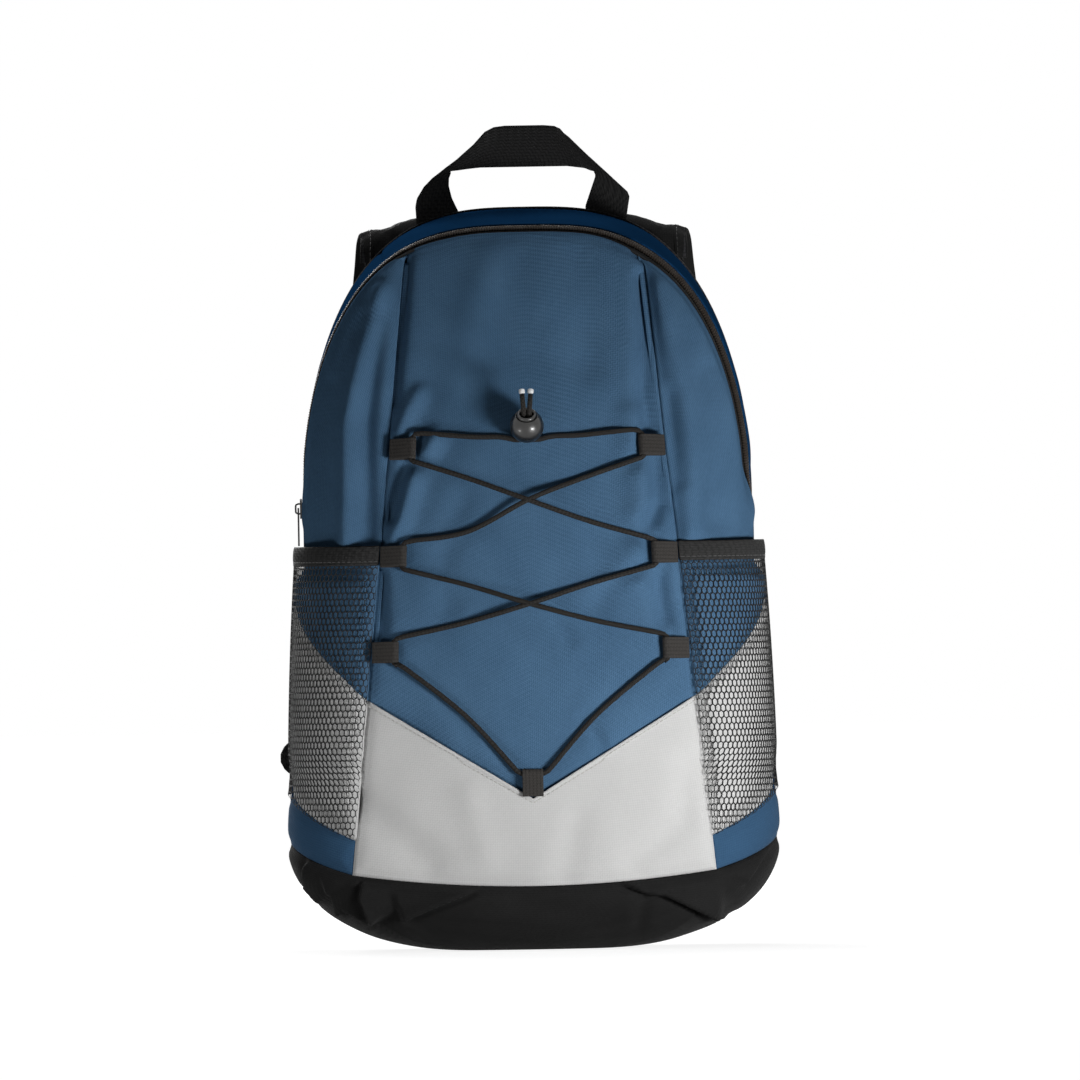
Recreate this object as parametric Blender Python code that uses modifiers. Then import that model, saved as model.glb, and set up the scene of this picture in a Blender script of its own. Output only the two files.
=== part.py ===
"""A daypack: a zipped bag with mesh side pockets, front lacing and padded shoulder straps.

Metres, +Z up. The front of the bag faces -Y and the wearer's back is at +Y. The origin is on the
floor, in the flat part of the base. Left and right are as seen from the front.
"""

import math

import bmesh
import bpy
from mathutils import Matrix, Vector

MM = 0.001

# Fits and sheet thicknesses
GAP = 0.4 * MM              # clearance between pieces that touch
SEAM_INSET = 0.7 * MM       # a fabric panel stops this far from its seam line
FABRIC = 1.2 * MM           # body fabric with its coating
BASE_FABRIC = 2.0 * MM      # doubled fabric of the base
WEBBING = 1.8 * MM          # black webbing of handle and straps
MESH = 1.0 * MM             # pocket mesh and its elastic hem

# Outline of the bag, seen from the front
BACK_TOP = 446 * MM
ZIP_TOP = 432.5 * MM
SPRING_HEIGHT = 270 * MM    # the straight sides turn into the arch here
BACK_HALF_WIDTH = 135 * MM
ZIP_HALF_WIDTH = 135 * MM
BACK_BASE_HALF_WIDTH = 144 * MM
BASE_HALF_WIDTH = 147.5 * MM
FLARE_TOP = 175 * MM        # the sides widen from here down to FLARE_END
FLARE_END = 70 * MM
ARCH_RISE_POWER = 2         # the arch is a superellipse with these two powers
ARCH_WIDTH_POWER = 3
ARCH_CROWDING = 1.6         # crowds the points along an arch towards its top

# Depth of the bag, seen from the side
BACK_Y = 62 * MM            # outer face of the back panel
ZIP_Y = -10 * MM            # front edge of the gusset
FRONT_BULGE = 64 * MM       # how far the front stands out before the zip's plane
SEAM_BULGE = 52 * MM        # the same at the princess seams
BULGE_HEIGHT = 120 * MM     # the front is at its deepest from here down
SIDE_FULLNESS = 0.13        # arch of the side front panels, as a share of their width
SIDE_TOP_INSET = 1.75 * MM  # the narrow top of a side front panel stops this far below the zip
SIDE_BOW = 6 * MM           # how far the side gusset sags inward under the pocket
BOW_FADE = 60 * MM          # height over which that sag dies out

# Seams of the front
SEAM_TOP_X = 71 * MM
SEAM_BASE_X = 109 * MM
POINT_HEIGHT = 90.5 * MM    # lowest point of the V edge
SHOULDER_HEIGHT = 150.5 * MM  # where the V edge meets the princess seams
GREY_SIDE_HEIGHT = 212 * MM   # where the grey side panel meets the side edge
STRIP_SEAM_HEIGHT = 67 * MM   # top of the blue side strip, at the princess seam
STRIP_SIDE_HEIGHT = 95 * MM   # and at the side edge

# Base
BASE_FRONT_HEIGHT = 38.5 * MM
BASE_SEAM_HEIGHT = 46.5 * MM
BASE_SIDE_HEIGHT = 65 * MM
BASE_FLAT_HALF_WIDTH = 45 * MM
BASE_FLAT_FRONT = 41 * MM
BASE_FLAT_REAR = 36 * MM

# Back padding, laid against the inside of the back panel
BACK_SHEET = 1.5 * MM
FOAM_SHEET = 5 * MM
LINING_SHEET = 1.0 * MM
PADDING_INSET = 10 * MM

# Mesh pockets
POCKET_DROP = 17 * MM       # a pocket's mouth is this far below the zip's end
HEM_HEIGHT = 11.5 * MM
POCKET_MOUTH_HALF_WIDTH = 140.6 * MM
POCKET_FULLNESS = 1.2 * MM
POCKET_TURN_Y = 2 * MM      # where the pocket's front turns into its side
POCKET_CLOSING = 28 * MM    # height over which the pocket closes on to the bag
POCKET_REAR_GAP = 3 * MM    # the pocket stops this far before the back panel

# Zip
ZIP_STRAIGHT = 10 * MM      # straight run of the zip below the arch, to both its ends
STRAIGHT_SHARE = 0.1        # share of the gusset's points on that run
COIL_SHARE = 0.995          # the coils stop short of the tapes' ends by the rest
TAPE_START = 1.2 * MM       # places measured across the gusset from its front edge
TAPE_WIDTH = 3.2 * MM
COIL_RADIUS = 0.8 * MM
COIL_SINK = 0.5 * MM        # the coils' centre line lies this far under the fabric
SLIDER_LENGTH = 12 * MM
SLIDER_WIDTH = 8 * MM
SLIDER_PLATE = 1.2 * MM
CROWN_WIRE = 0.55 * MM      # radius of the slider's bridge
CROWN_HALF_LENGTH = 3 * MM
CROWN_RISE = 2.6 * MM
CROWN_TAPER = 0.8           # length of the bridge's top, as a share of its foot
PULLER_LENGTH = 23 * MM
PULLER_WIDTH = 6.5 * MM
PULLER_THICKNESS = 1.0 * MM
PULLER_BAR = 1.2 * MM       # width of the bar that passes under the bridge
PULLER_HOLE = 4.2 * MM

# Lacing
CORD_RADIUS = 1.5 * MM
CORD_CLEARANCE = 0.35 * MM
CORD_LIFT = 2.1 * MM        # centre of the cord above the fabric
LOOP_TAPE = 0.9 * MM
LOOP_WIDTH = 12.5 * MM
LOOP_LENGTH = 16 * MM
LOOP_HEIGHTS = (300 * MM, 236 * MM, 179 * MM)
BOTTOM_LOOP_HEIGHT = 92 * MM
CROSSING_HEIGHTS = (269 * MM, 207 * MM)
CROSSING_LIFT = 5.6 * MM
CORD_SLACK = 5 * MM         # how far the run to the left middle loop hangs down
CORD_SPACING = 12 * MM      # between the points along the cord

# Cord lock
LOCK_RADIUS = 10.2 * MM
LOCK_HEIGHT = 313 * MM
LOCK_STANDOFF = 4 * MM      # gap between the ball and the fabric
LOCK_TILT = 40              # degrees that its bore leans to the front
LOCK_BORE = 6.2 * MM
CORD_HOLE = 4.0 * MM
PLUNGER_CLEARANCE = 0.3 * MM
PLUNGER_LOW = 1.5 * MM      # places along the lock's axis, from the ball's centre
PLUNGER_HIGH = 10.2 * MM
PLUNGER_LIP = 1 * MM
PLUNGER_TRAVEL = 3 * MM
SPRING_WIRE = 0.35 * MM
SPRING_TURNS = 4
STRAND_OFFSET = 1.75 * MM   # each strand beside the lock's axis
TAIL_LENGTH = 11 * MM
TAIL_SPREAD = 2.5 * MM      # each tail's end beside the middle
TIP_LENGTH = 3 * MM
TIP_WALL = 0.35 * MM

# Grab handle
HANDLE_WIDTH = 27 * MM      # webbing of a leg
HANDLE_FOOT_HALF_SPAN = 64.5 * MM
HANDLE_PIVOT_HEIGHT = 447 * MM
HANDLE_RISE = 48 * MM
HANDLE_CROWN_HALF_WIDTH = 19 * MM
HANDLE_GRIP_WIDTH = 26 * MM  # webbing at the crown
HANDLE_GRIP_HALF_SPAN = 44 * MM
HANDLE_LEG_RISE = 4 * MM    # straight foot of a leg
HANDLE_KNEE_RISE = 12 * MM  # where a leg leans in to the crown
HANDLE_KNEE_INSET = 5 * MM
HANDLE_ROUND = 4 * MM       # rounding of the crown's and the grip's corners
HANDLE_SEWN_LENGTH = 28 * MM

# Shoulder straps
STRAP_COVER = 1.2 * MM
STRAP_PAD = 7.5 * MM
STRAP_LAYER_GAP = 1.1 * MM  # between cover and pad, which bend together
STRAP_TOP_WIDTH = 76 * MM
STRAP_END_WIDTH = 40 * MM
STRAP_ROUTE = (             # outer face of the right strap: x, distance behind the back, z
    (60 * MM, 5.5 * MM, 414 * MM),
    (60 * MM, 7 * MM, 427 * MM),
    (60.5 * MM, 15 * MM, 437.5 * MM),
    (62 * MM, 30 * MM, 439.5 * MM),
    (64.5 * MM, 46 * MM, 427 * MM),
    (68.5 * MM, 56 * MM, 400 * MM),
    (77.5 * MM, 61 * MM, 355 * MM),
    (84.5 * MM, 60 * MM, 308 * MM),
    (87 * MM, 55 * MM, 260 * MM),
    (91.5 * MM, 46 * MM, 215 * MM),
    (99.5 * MM, 38 * MM, 186 * MM),
    (112 * MM, 31 * MM, 165 * MM),
)
STRAP_TILT = 0.16           # fall of a strap's top to its outer edge, per width
STRAP_SPACING = 22 * MM     # between the points along a strap
STRAP_LOOP_WIDTH = 24 * MM
STRAP_LOOP_LENGTH = 11 * MM
BUCKLE_WIDTH = 33 * MM
BUCKLE_LENGTH = 22 * MM
BUCKLE_THICKNESS = 3.6 * MM
BUCKLE_BAR = 3.6 * MM
LOWER_WEBBING_WIDTH = 24 * MM
LOWER_WEBBING_LENGTH = 30 * MM
WEBBING_TAIL_LENGTH = 33 * MM
WEBBING_TAIL_LIFT = 4.5 * MM  # how far the tail's end stands off the strap
WEBBING_TAIL_BEND = 20 * MM
WEBBING_RUN_BEND = 12 * MM
ANCHOR_OUTER_X = 153 * MM
ANCHOR_INNER_X = 131 * MM
ANCHOR_HEIGHT = 114 * MM
ANCHOR_HALF_HEIGHT = 13 * MM

# Finish: name of the material, sRGB colour, roughness, metallic
BLUE = ("blue polyester", "3a566f", 0.85, 0.0)
NAVY = ("navy polyester", "0f2944", 0.85, 0.0)
GREY = ("grey polyester", "c2c2c2", 0.85, 0.0)
BLACK = ("black polyester", "1e1e1e", 0.85, 0.0)
BLACK_WEB = ("black webbing", "1a1a1a", 0.8, 0.0)
BLACK_MESH = ("black mesh", "232323", 0.7, 0.0)
BLACK_PLASTIC = ("black plastic", "1c1c1d", 0.35, 0.0)
SMOKE_PLASTIC = ("smoked plastic", "3a3a3a", 0.2, 0.0)
CORD_BLACK = ("elastic cord", "2b2b2a", 0.7, 0.0)
FOAM = ("foam", "3b3b3d", 0.95, 0.0)
STEEL = ("spring steel", "9a9a9a", 0.3, 1.0)
CLEAR_TIP = ("cord tip", "d8dadb", 0.25, 0.0)

parts = None
cutters = None


def clear_scene():
    """Remove what is in the file and make the two collections."""
    global parts, cutters
    for thing in list(bpy.data.objects):
        bpy.data.objects.remove(thing, do_unlink=True)
    parts = bpy.data.collections.new("daypack")
    cutters = bpy.data.collections.new("daypack_cutters")
    bpy.context.scene.collection.children.link(parts)
    bpy.context.scene.collection.children.link(cutters)


# Small helpers

def lerp(low, high, share):
    return low + (high - low) * share


def smooth(share):
    share = min(max(share, 0.0), 1.0)
    return share * share * (3 - 2 * share)


def linear(channel):
    return channel / 12.92 if channel <= 0.04045 else ((channel + 0.055) / 1.055) ** 2.4


def paint(thing, finish):
    """Give an object its own Principled material."""
    name, colour, roughness, metallic = finish
    material = bpy.data.materials.new(f"{thing.name} {name}")
    material.use_nodes = True
    shader = material.node_tree.nodes["Principled BSDF"]
    channels = [linear(int(colour[i:i + 2], 16) / 255) for i in (0, 2, 4)]
    shader.inputs["Base Color"].default_value = (*channels, 1.0)
    shader.inputs["Roughness"].default_value = roughness
    shader.inputs["Metallic"].default_value = metallic
    thing.data.materials.append(material)


def place(name, data, finish, pivot=None):
    """Link a piece under the daypack; its data is in world space, its origin goes to the pivot."""
    thing = bpy.data.objects.new(name, data)
    parts.objects.link(thing)
    if pivot is not None:
        data.transform(Matrix.Translation(-pivot))
        thing.location = pivot
    paint(thing, finish)
    return thing


def place_cutter(name, data):
    thing = bpy.data.objects.new(name, data)
    cutters.objects.link(thing)
    thing.hide_render = True
    thing.display_type = 'WIRE'
    return thing


def sheet(thing, thickness, offset):
    """Turn an open surface into a closed sheet."""
    solid = thing.modifiers.new("sheet", 'SOLIDIFY')
    solid.thickness = thickness
    solid.offset = offset
    solid.use_even_offset = True


def box_mesh(name, size, centre, frame):
    """A box of the given size, centred in a frame."""
    shape = bmesh.new()
    bmesh.ops.create_cube(shape, size=1.0)
    scale = Matrix.Diagonal((*size, 1.0))
    bmesh.ops.transform(shape, matrix=frame @ Matrix.Translation(centre) @ scale, verts=shape.verts)
    mesh = bpy.data.meshes.new(name)
    shape.to_mesh(mesh)
    shape.free()
    return mesh


def combine(thing, other, operation):
    """Join or cut a piece with a helper solid."""
    step = thing.modifiers.new(other.name, 'BOOLEAN')
    step.operation = operation
    step.object = other
    step.solver = 'EXACT'


def grid_mesh(name, points, columns, rows, closed=False):
    """A surface through rows of points, each row with columns + 1 of them (columns if closed)."""
    shape = bmesh.new()
    across = columns if closed else columns + 1
    verts = [shape.verts.new(point) for point in points]
    for row in range(rows):
        for column in range(columns):
            right = (column + 1) % across
            shape.faces.new((
                verts[row * across + column],
                verts[row * across + right],
                verts[(row + 1) * across + right],
                verts[(row + 1) * across + column],
            ))
    mesh = bpy.data.meshes.new(name)
    shape.to_mesh(mesh)
    shape.free()
    return mesh


def face_outward(mesh):
    """Turn a patch of the bag so that its faces look away from the bag's middle."""
    middle = Vector((0, (BACK_Y + ZIP_Y) / 2, SPRING_HEIGHT))
    first = mesh.polygons[len(mesh.polygons) // 2]
    if first.normal.dot(first.center - middle) < 0:
        mesh.flip_normals()


def path_length(points):
    return sum((b - a).length for a, b in zip(points, points[1:]))


def inset_points(surface, columns, rows, inset):
    """Sample a surface of two shares, pulled back from its four edges by a seam allowance."""
    steps = 8
    row_insets = []
    for row in range(rows + 1):
        length = path_length([surface(k / steps, row / rows) for k in range(steps + 1)])
        row_insets.append(min(inset / length, 0.4))
    column_insets = []
    for column in range(columns + 1):
        length = path_length([surface(column / columns, k / steps) for k in range(steps + 1)])
        column_insets.append(min(inset / length, 0.4))
    points = []
    for row in range(rows + 1):
        for column in range(columns + 1):
            across = lerp(row_insets[row], 1 - row_insets[row], column / columns)
            along = lerp(column_insets[column], 1 - column_insets[column], row / rows)
            points.append(surface(across, along))
    return points


def panel(name, surface, columns, rows, thickness, finish):
    """A fabric panel on the bag's outer surface."""
    mesh = grid_mesh(name, inset_points(surface, columns, rows, SEAM_INSET), columns, rows)
    face_outward(mesh)
    thing = place(name, mesh, finish)
    sheet(thing, thickness, -1)
    return thing


def mirrored(surface, side):
    """The same surface on the right (side 1) or on the left (side -1)."""
    def point(across, along):
        spot = surface(across, along)
        return Vector((side * spot.x, spot.y, spot.z))
    return point


def both_sides():
    return (("left", -1), ("right", 1))


def smooth_path(points, spacing):
    """Points along a Catmull-Rom curve through the given points, about a spacing apart."""
    padded = [2 * points[0] - points[1], *points, 2 * points[-1] - points[-2]]
    path = []
    for i in range(1, len(padded) - 2):
        a, b, c, d = padded[i - 1:i + 3]
        steps = max(round((c - b).length / spacing), 1)
        for k in range(steps):
            t = k / steps
            path.append(0.5 * (2 * b + (c - a) * t + (2 * a - 5 * b + 4 * c - d) * t ** 2
                               + (3 * b - a - 3 * c + d) * t ** 3))
    path.append(points[-1].copy())
    return path


def rod_curve(name, points, radius, resolution):
    """A round rod along a line of points, with closed ends."""
    curve = bpy.data.curves.new(name, 'CURVE')
    curve.dimensions = '3D'
    curve.bevel_depth = radius
    curve.bevel_resolution = resolution
    curve.use_fill_caps = True
    spline = curve.splines.new('POLY')
    spline.points.add(len(points) - 1)
    for knot, point in zip(spline.points, points):
        knot.co = (*point, 1.0)
    return curve


def plate(name, outline, thickness, y_middle, finish):
    """A flat piece cut to an outline in X and Z, standing across Y."""
    curve = bpy.data.curves.new(name, 'CURVE')
    curve.dimensions = '2D'
    curve.fill_mode = 'BOTH'
    curve.extrude = thickness / 2
    spline = curve.splines.new('POLY')
    spline.points.add(len(outline) - 1)
    for knot, (x, z) in zip(spline.points, outline):
        knot.co = (x, z, 0.0, 1.0)
    spline.use_cyclic_u = True
    thing = bpy.data.objects.new(name, curve)
    parts.objects.link(thing)
    thing.rotation_euler = (math.pi / 2, 0, 0)
    thing.location = (0, y_middle, 0)
    paint(thing, finish)
    return thing


def ribbon_mesh(name, points, sides):
    """A strip along a path: each side vector reaches from the middle line to the right edge."""
    strip = []
    for point, side in zip(points, sides):
        strip.extend((point - side, point + side))
    return grid_mesh(name, strip, 1, len(points) - 1)


# The bag's outer surface

def flare(z, extra):
    return extra * smooth((FLARE_TOP - z) / (FLARE_TOP - FLARE_END))


def arch_width(z, half_width, top, extra):
    """Half width of an outline at a height: flared below, straight, then arched."""
    if z <= SPRING_HEIGHT:
        return half_width + flare(z, extra)
    rise = min((z - SPRING_HEIGHT) / (top - SPRING_HEIGHT), 1.0)
    return half_width * (1 - rise ** ARCH_RISE_POWER) ** (1 / ARCH_WIDTH_POWER)


def edge_x(z):
    return arch_width(z, ZIP_HALF_WIDTH, ZIP_TOP, BASE_HALF_WIDTH - ZIP_HALF_WIDTH)


def back_x(z):
    return arch_width(z, BACK_HALF_WIDTH, BACK_TOP, BACK_BASE_HALF_WIDTH - BACK_HALF_WIDTH)


def zip_height(x):
    """Height of the zip's arch above a place on the front."""
    share = min(abs(x) / ZIP_HALF_WIDTH, 1.0)
    return lerp(SPRING_HEIGHT, ZIP_TOP, (1 - share ** ARCH_WIDTH_POWER) ** (1 / ARCH_RISE_POWER))


def zip_end():
    return SPRING_HEIGHT - ZIP_STRAIGHT


def pocket_top():
    """Where a pocket's mesh ends and its elastic hem starts."""
    return zip_end() - POCKET_DROP - HEM_HEIGHT


SEAM_TOP_HEIGHT = zip_height(SEAM_TOP_X)


def seam_x(z):
    share = (z - BASE_SEAM_HEIGHT) / (SEAM_TOP_HEIGHT - BASE_SEAM_HEIGHT)
    return lerp(SEAM_BASE_X, SEAM_TOP_X, share)


def front_y(x, z):
    """Depth of the front between the princess seams."""
    across = min(abs(x) / seam_x(z), 1.0)
    bulge = lerp(FRONT_BULGE, SEAM_BULGE, across ** 2)
    up = max((z - BULGE_HEIGHT) / (zip_height(x) - BULGE_HEIGHT), 0.0)
    return ZIP_Y - bulge * (1 - up ** 2)


def base_edge(x):
    """Height of the base's upper edge along the front."""
    return lerp(BASE_FRONT_HEIGHT, BASE_SEAM_HEIGHT, (x / SEAM_BASE_X) ** 2)


def front_point(side, share):
    """The front, from the left seam (side -1) to the right (1), from base (share 0) to zip (1)."""
    x = lerp(side * SEAM_BASE_X, side * SEAM_TOP_X, share)
    z = lerp(base_edge(side * SEAM_BASE_X), zip_height(side * SEAM_TOP_X), share)
    return Vector((x, front_y(x, z), z))


def v_share(side):
    """Share of a front column's height at which it crosses the V edge."""
    low = base_edge(side * SEAM_BASE_X)
    rise = zip_height(side * SEAM_TOP_X) - low
    slope = (SHOULDER_HEIGHT - POINT_HEIGHT) / seam_x(SHOULDER_HEIGHT)
    reach = slope * abs(side)
    return (POINT_HEIGHT + reach * SEAM_BASE_X - low) / (rise + reach * (SEAM_BASE_X - SEAM_TOP_X))


def side_point(share, z):
    """The right side front, from the princess seam (share 0) to the side edge (1)."""
    seam = seam_x(z)
    start = Vector((seam, front_y(seam, z), z))
    chord = Vector((edge_x(z), ZIP_Y, z)) - start
    outward = Vector((chord.y, -chord.x, 0))
    return start + chord * share + outward * (SIDE_FULLNESS * 4 * share * (1 - share))


def bow(z):
    low = smooth((z - STRIP_SIDE_HEIGHT) / BOW_FADE)
    high = 1 - smooth((z - pocket_top() - HEM_HEIGHT) / BOW_FADE)
    return SIDE_BOW * low * high


def gusset_rear():
    return BACK_Y - BACK_SHEET - GAP


def gusset_side_point(share, z):
    """The right side gusset, from the side edge (share 0) to the back (1)."""
    sag = bow(z) * 4 * share * (1 - share)
    return Vector((lerp(edge_x(z), back_x(z), share) - sag, lerp(ZIP_Y, gusset_rear(), share), z))


def gusset_arch_point(along, reach):
    """The zipped gusset: along runs from -1 (left end) over the top to 1, reach is from the zip."""
    side = -1 if along < 0 else 1
    climb = 1 - abs(along)
    share = reach / (gusset_rear() - ZIP_Y)
    if climb < STRAIGHT_SHARE:
        spot = gusset_side_point(share, lerp(zip_end(), SPRING_HEIGHT, climb / STRAIGHT_SHARE))
        return Vector((side * spot.x, spot.y, spot.z))
    arched = (climb - STRAIGHT_SHARE) / (1 - STRAIGHT_SHARE)
    turn = math.pi / 2 * (1 - (1 - arched) ** ARCH_CROWDING)
    narrowing = max(math.cos(turn), 0.0) ** (2 / ARCH_WIDTH_POWER)
    rise = math.sin(turn) ** (2 / ARCH_RISE_POWER)
    front = Vector((ZIP_HALF_WIDTH * narrowing, lerp(SPRING_HEIGHT, ZIP_TOP, rise)))
    rear = Vector((BACK_HALF_WIDTH * narrowing, lerp(SPRING_HEIGHT, BACK_TOP, rise)))
    spot = front.lerp(rear, share)
    sag = bow(spot.y) * 4 * share * (1 - share)
    return Vector((side * (spot.x - sag), lerp(ZIP_Y, gusset_rear(), share), spot.y))


def strip_edge(share):
    return lerp(STRIP_SEAM_HEIGHT, STRIP_SIDE_HEIGHT, share)


def side_base_edge(share):
    return lerp(BASE_SEAM_HEIGHT, BASE_SIDE_HEIGHT, share)


def grey_edge(share):
    return lerp(SHOULDER_HEIGHT, GREY_SIDE_HEIGHT, share)


# Body pieces

def make_front_panels():
    def upper(across, along):
        side = 2 * across - 1
        return front_point(side, lerp(v_share(side), 1, along))

    def lower(across, along):
        side = 2 * across - 1
        return front_point(side, lerp(0, v_share(side), along))

    panel("front_panel_upper", upper, 10, 9, FABRIC, BLUE)
    panel("front_panel_lower", lower, 10, 3, FABRIC, GREY)


def make_side_panels():
    top = SEAM_TOP_HEIGHT - SIDE_TOP_INSET

    def upper(across, along):
        return side_point(across, lerp(grey_edge(across), top, along))

    def grey(across, along):
        return side_point(across, lerp(strip_edge(across), grey_edge(across), along))

    def strip(across, along):
        return side_point(across, lerp(side_base_edge(across), strip_edge(across), along))

    def gusset(across, along):
        return gusset_side_point(across, lerp(BASE_SIDE_HEIGHT, zip_end(), along))

    for name, side in both_sides():
        panel(f"{name}_side_front_panel", mirrored(upper, side), 5, 10, FABRIC, BLUE)
        panel(f"{name}_side_grey_panel", mirrored(grey, side), 5, 5, FABRIC, GREY)
        panel(f"{name}_side_strip", mirrored(strip, side), 5, 2, FABRIC, BLUE)
        panel(f"{name}_side_gusset", mirrored(gusset, side), 4, 8, FABRIC, NAVY)


def coil_reach(index):
    """Place of the front (0) or rear (1) coil, measured across the gusset."""
    return TAPE_START + TAPE_WIDTH + GAP + COIL_RADIUS + index * (2 * COIL_RADIUS + GAP)


def rear_tape_reach():
    return coil_reach(1) + COIL_RADIUS + GAP


def make_zip_gusset():
    rear = gusset_rear() - ZIP_Y

    def strip(start, end):
        def point(across, along):
            return gusset_arch_point(2 * along - 1, lerp(start, end, across))
        return point

    rear_tape = rear_tape_reach()
    gusset_start = rear_tape + TAPE_WIDTH
    panel("zip_gusset", strip(gusset_start, rear), 3, 28, FABRIC, NAVY)
    panel("zip_front_tape", strip(TAPE_START - SEAM_INSET, TAPE_START + TAPE_WIDTH), 1, 28,
          FABRIC, BLACK)
    panel("zip_rear_tape", strip(rear_tape - SEAM_INSET, gusset_start), 1, 28, FABRIC, BLACK)
    for index, name in enumerate(("zip_front_coil", "zip_rear_coil")):
        line = []
        for k in range(37):
            along = lerp(-1, 1, k / 36) * COIL_SHARE
            spot = gusset_arch_point(along, coil_reach(index))
            inward = Vector((-spot.x, 0, SPRING_HEIGHT - spot.z if spot.z > SPRING_HEIGHT else 0))
            line.append(spot + inward.normalized() * COIL_SINK)
        place(name, rod_curve(name, line, COIL_RADIUS, 1), BLACK_PLASTIC)


def make_base():
    """The base wraps up the bag: rings shrink from its upper edge to the flat bottom."""
    half = []
    for k in range(6):
        x = SEAM_BASE_X * k / 6
        half.append(Vector((x, front_y(x, base_edge(x)), base_edge(x))))
    for k in range(6):
        half.append(side_point(k / 5, side_base_edge(k / 5)))
    for k in range(1, 4):
        half.append(gusset_side_point(k / 4, BASE_SIDE_HEIGHT))
    half.append(Vector((back_x(BASE_SIDE_HEIGHT), BACK_Y, BASE_SIDE_HEIGHT)))
    for k in range(3, 0, -1):
        half.append(Vector((back_x(BASE_SIDE_HEIGHT) * k / 4, BACK_Y, BASE_SIDE_HEIGHT)))
    rear = Vector((0, BACK_Y, BASE_SIDE_HEIGHT))
    ring = half + [rear] + [Vector((-p.x, p.y, p.z)) for p in reversed(half[1:])]
    rows = 5
    points = []
    for row in range(rows + 1):
        turn = math.pi / 2 * row / rows
        for spot in ring:
            depth = BASE_FLAT_FRONT / (FRONT_BULGE - ZIP_Y) if spot.y < 0 else BASE_FLAT_REAR / BACK_Y
            flat = Vector((spot.x * BASE_FLAT_HALF_WIDTH / BASE_HALF_WIDTH, spot.y * depth, 0))
            top = spot.z - SEAM_INSET
            reach = math.cos(turn)
            points.append(Vector((lerp(flat.x, spot.x, reach), lerp(flat.y, spot.y, reach),
                                  top * (1 - math.sin(turn)))))
    mesh = grid_mesh("base_panel", points, len(ring), rows, closed=True)
    shape = bmesh.new()
    shape.from_mesh(mesh)
    bottom = [edge for edge in shape.edges if edge.is_boundary and edge.verts[0].co.z < GAP]
    bmesh.ops.contextual_create(shape, geom=bottom)
    bmesh.ops.recalc_face_normals(shape, faces=shape.faces)
    lowest = min(shape.faces, key=lambda face: face.calc_center_median().z)
    if lowest.normal.z > 0:
        bmesh.ops.reverse_faces(shape, faces=shape.faces)
    shape.to_mesh(mesh)
    shape.free()
    thing = place("base_panel", mesh, BLACK)
    sheet(thing, BASE_FABRIC, -1)


def back_outline(inset):
    """Outline of the back panel, or of a sheet inside it that stops short of it all round."""
    steps = 16
    low = BASE_SIDE_HEIGHT + SEAM_INSET + inset
    right = []
    for k in range(5):
        z = lerp(low, SPRING_HEIGHT, k / 5)
        right.append((back_x(z) - inset, z))
    for k in range(steps):
        turn = math.pi / 2 * (1 - (1 - k / steps) ** ARCH_CROWDING)
        width = (BACK_HALF_WIDTH - inset) * math.cos(turn) ** (2 / ARCH_WIDTH_POWER)
        rise = math.sin(turn) ** (2 / ARCH_RISE_POWER)
        right.append((width, lerp(SPRING_HEIGHT, BACK_TOP - inset, rise)))
    return right + [(0, BACK_TOP - inset)] + [(-x, z) for x, z in reversed(right)]


def make_back():
    sheet_y = BACK_Y - BACK_SHEET / 2
    foam_y = BACK_Y - BACK_SHEET - GAP - FOAM_SHEET / 2
    lining_y = foam_y - FOAM_SHEET / 2 - GAP - LINING_SHEET / 2
    plate("back_panel", back_outline(0), BACK_SHEET, sheet_y, BLACK)
    plate("back_foam", back_outline(PADDING_INSET), FOAM_SHEET, foam_y, FOAM)
    plate("back_lining", back_outline(PADDING_INSET), LINING_SHEET, lining_y, NAVY)


# Pockets

def pocket_half_width(z):
    low = edge_x(STRIP_SIDE_HEIGHT) + MESH + GAP
    share = (z - STRIP_SIDE_HEIGHT) / (pocket_top() + HEM_HEIGHT - STRIP_SIDE_HEIGHT)
    return lerp(low, POCKET_MOUTH_HALF_WIDTH, share) + POCKET_FULLNESS * 4 * share * (1 - share)


def pocket_floor(around):
    """Height of the pocket's lower edge, from the princess seam (0) to the back (1)."""
    return strip_edge(min(around * 2, 1.0))


def body_around(around, z):
    """The bag's own surface under the pocket, with its outward direction."""
    if around < 0.5:
        return side_point(around * 2, z)
    return gusset_side_point(around * 2 - 1, z)


def pocket_point(around, z):
    """Outer face of the right pocket: it closes on to the bag at its floor."""
    seat = MESH + GAP
    seam = seam_x(z)
    half_width = pocket_half_width(z)
    start = Vector((seam, front_y(seam, z) - seat, z))
    rear = Vector((back_x(z) + seat, gusset_rear() - POCKET_REAR_GAP, z))
    if around < 0.5:
        turn = math.pi * around
        full = Vector((lerp(seam, half_width, math.sin(turn)),
                       lerp(POCKET_TURN_Y, start.y, math.cos(turn)), z))
    else:
        share = around * 2 - 1
        full = Vector((lerp(half_width, rear.x, share ** 2),
                       lerp(POCKET_TURN_Y, rear.y, share), z))
    step = 0.02
    ahead = body_around(min(around + step, 1.0), z) - body_around(max(around - step, 0.0), z)
    outward = Vector((ahead.y, -ahead.x, 0)).normalized()
    hugging = body_around(around, z) + outward * seat
    hugging.y = min(hugging.y, rear.y)
    opening = smooth((z - pocket_floor(around)) / POCKET_CLOSING)
    return hugging.lerp(full, opening)


def make_pockets():
    def mesh_part(across, along):
        return pocket_point(across, lerp(pocket_floor(across), pocket_top(), along))

    def hem(across, along):
        return pocket_point(across, lerp(pocket_top(), pocket_top() + HEM_HEIGHT, along))

    for name, side in both_sides():
        panel(f"{name}_mesh_pocket", mirrored(mesh_part, side), 12, 7, MESH, BLACK_MESH)
        panel(f"{name}_pocket_elastic", mirrored(hem, side), 12, 1, MESH, BLACK_WEB)


# Zip slider

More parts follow.
